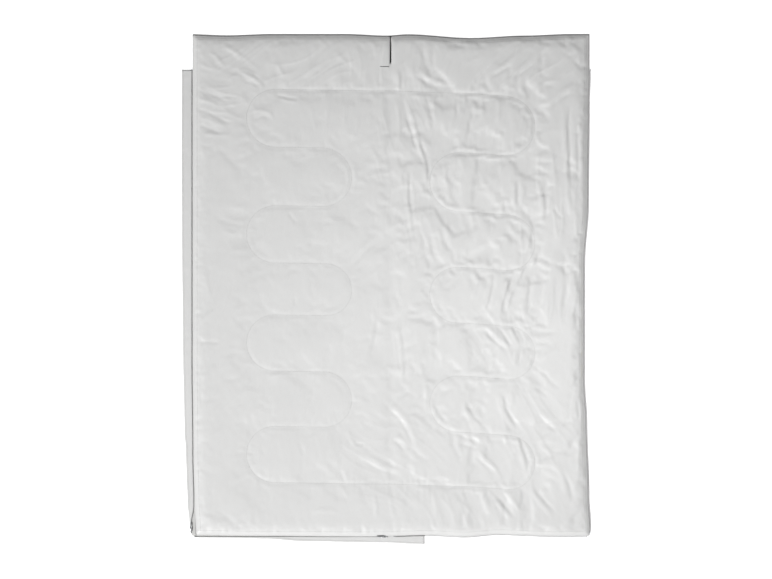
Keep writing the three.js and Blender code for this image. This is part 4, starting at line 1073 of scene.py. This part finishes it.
# The zip guard: an L-shaped flap of the lining's satin under the back half's side and foot edges, with a
# narrow hem round its free edges. It keeps the zips off the skin and the floor, and its tail runs on past the
# fold.
flap_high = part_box("zip_guard_flap")[1]
FLAP_INNER = LEFT + 0.022
FLAP_UPPER = FOOT + 0.022
FLAP_TOP = flap_high.y
HEM = 0.008
FLAP_CORNER = 0.034
SLIDER_REACH = 0.0068
FLAP_T = 0.0006
FLAP_STEP = 0.007
FLAP_OUT = [(-0.93, -0.7400), (-0.89, -0.7415), (-0.80, -0.7490), (-0.70, -0.7530), (-0.60, -0.7560),
            (-0.53, -0.7610), (-0.20, -0.7665), (0.20, -0.7700), (0.50, -0.7715), (0.83, -0.7705)]
FLAP_BELOW = [(-0.74, -0.9365), (-0.60, -0.9375), (-0.45, -0.9410), (-0.30, -0.9510), (0.00, -0.9555),
              (0.10, -0.9600), (0.1456, -0.9610)]


def flap_rows():
    """Rows across the flap, from its inner to its free edge, from the head round the corner to the tail."""
    corner_y = run_through(FLAP_BELOW, LEFT) + FLAP_CORNER
    corner_x = run_through(FLAP_OUT, corner_y) + FLAP_CORNER
    down = round((FLAP_TOP - corner_y) / FLAP_STEP)
    for i in range(down):
        y = FLAP_TOP - i * (FLAP_TOP - corner_y) / down
        yield Vector((FLAP_INNER, max(y, FLAP_UPPER))), Vector((run_through(FLAP_OUT, y), y)), y
    for i in range(13):
        angle = math.pi + i / 12 * math.pi / 2
        reach = Vector((math.cos(angle), math.sin(angle))) * FLAP_CORNER
        yield Vector((FLAP_INNER, FLAP_UPPER)), Vector((corner_x, corner_y)) + reach, corner_y - i * 0.004
    along = round((flap_high.x - corner_x) / FLAP_STEP)
    for i in range(1, along + 1):
        x = corner_x + i * (flap_high.x - corner_x) / along
        yield Vector((max(x, FLAP_INNER), FLAP_UPPER)), Vector((x, run_through(FLAP_BELOW, x))), -1.1 - x


ACROSS_FLAP = [0.0, 0.2, 0.4, 0.55, 0.7, 0.8]
rows = []
for inner, free, course in flap_rows():
    wide = (free - inner).length
    hem_at = 1 - HEM / wide
    shares = [share * hem_at for share in ACROSS_FLAP]
    shares += [hem_at - 0.02, hem_at, hem_at + 0.02, 1 - 0.35 * HEM / wide, 1]
    row = []
    for share in shares:
        place = inner.lerp(free, share)
        shown = smooth((share - 0.45) / 0.25)
        ripple = noise.noise(Vector((course * 42, share * 1.2, 1)))
        ripple += 0.5 * noise.noise(Vector((course * 110, share, 2)))
        rise = 0.0002 + 0.0010 * shown * max(0.0, ripple + 0.15)
        gathered = math.exp(-(((course - 0.70) / 0.05) ** 2))
        rise += 0.0016 * shown * gathered * max(0.0, noise.noise(Vector((course * 90 + share * 3, 0, 6))))
        hem = 0.0008 * smooth((share - hem_at) / 0.03)
        hem *= 1 - 0.6 * smooth((share - 1 + 0.3 * HEM / wide) / 0.04)
        clear_of_zip = smooth((max(LEFT - place.x, FOOT - place.y) - SLIDER_REACH) / 0.006)
        row.append((place.x, place.y, 0.0002 + (rise - 0.0002 + hem) * clear_of_zip))
    rows.append(row)
flap = strip_mesh("zip_guard_cloth", rows)
if flap.data.polygons[0].normal.z < 0:
    flap.data.flip_normals()
thicken(flap, FLAP_T, 1)
guard_satin = woven("guard_satin", SATIN_GREY, 0.0006, 0.00003, 0.022, 0.42, 0.20, False, 0.8)
dress(flap, guard_satin)
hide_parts("zip_guard_flap")
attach(flap, "back_half")
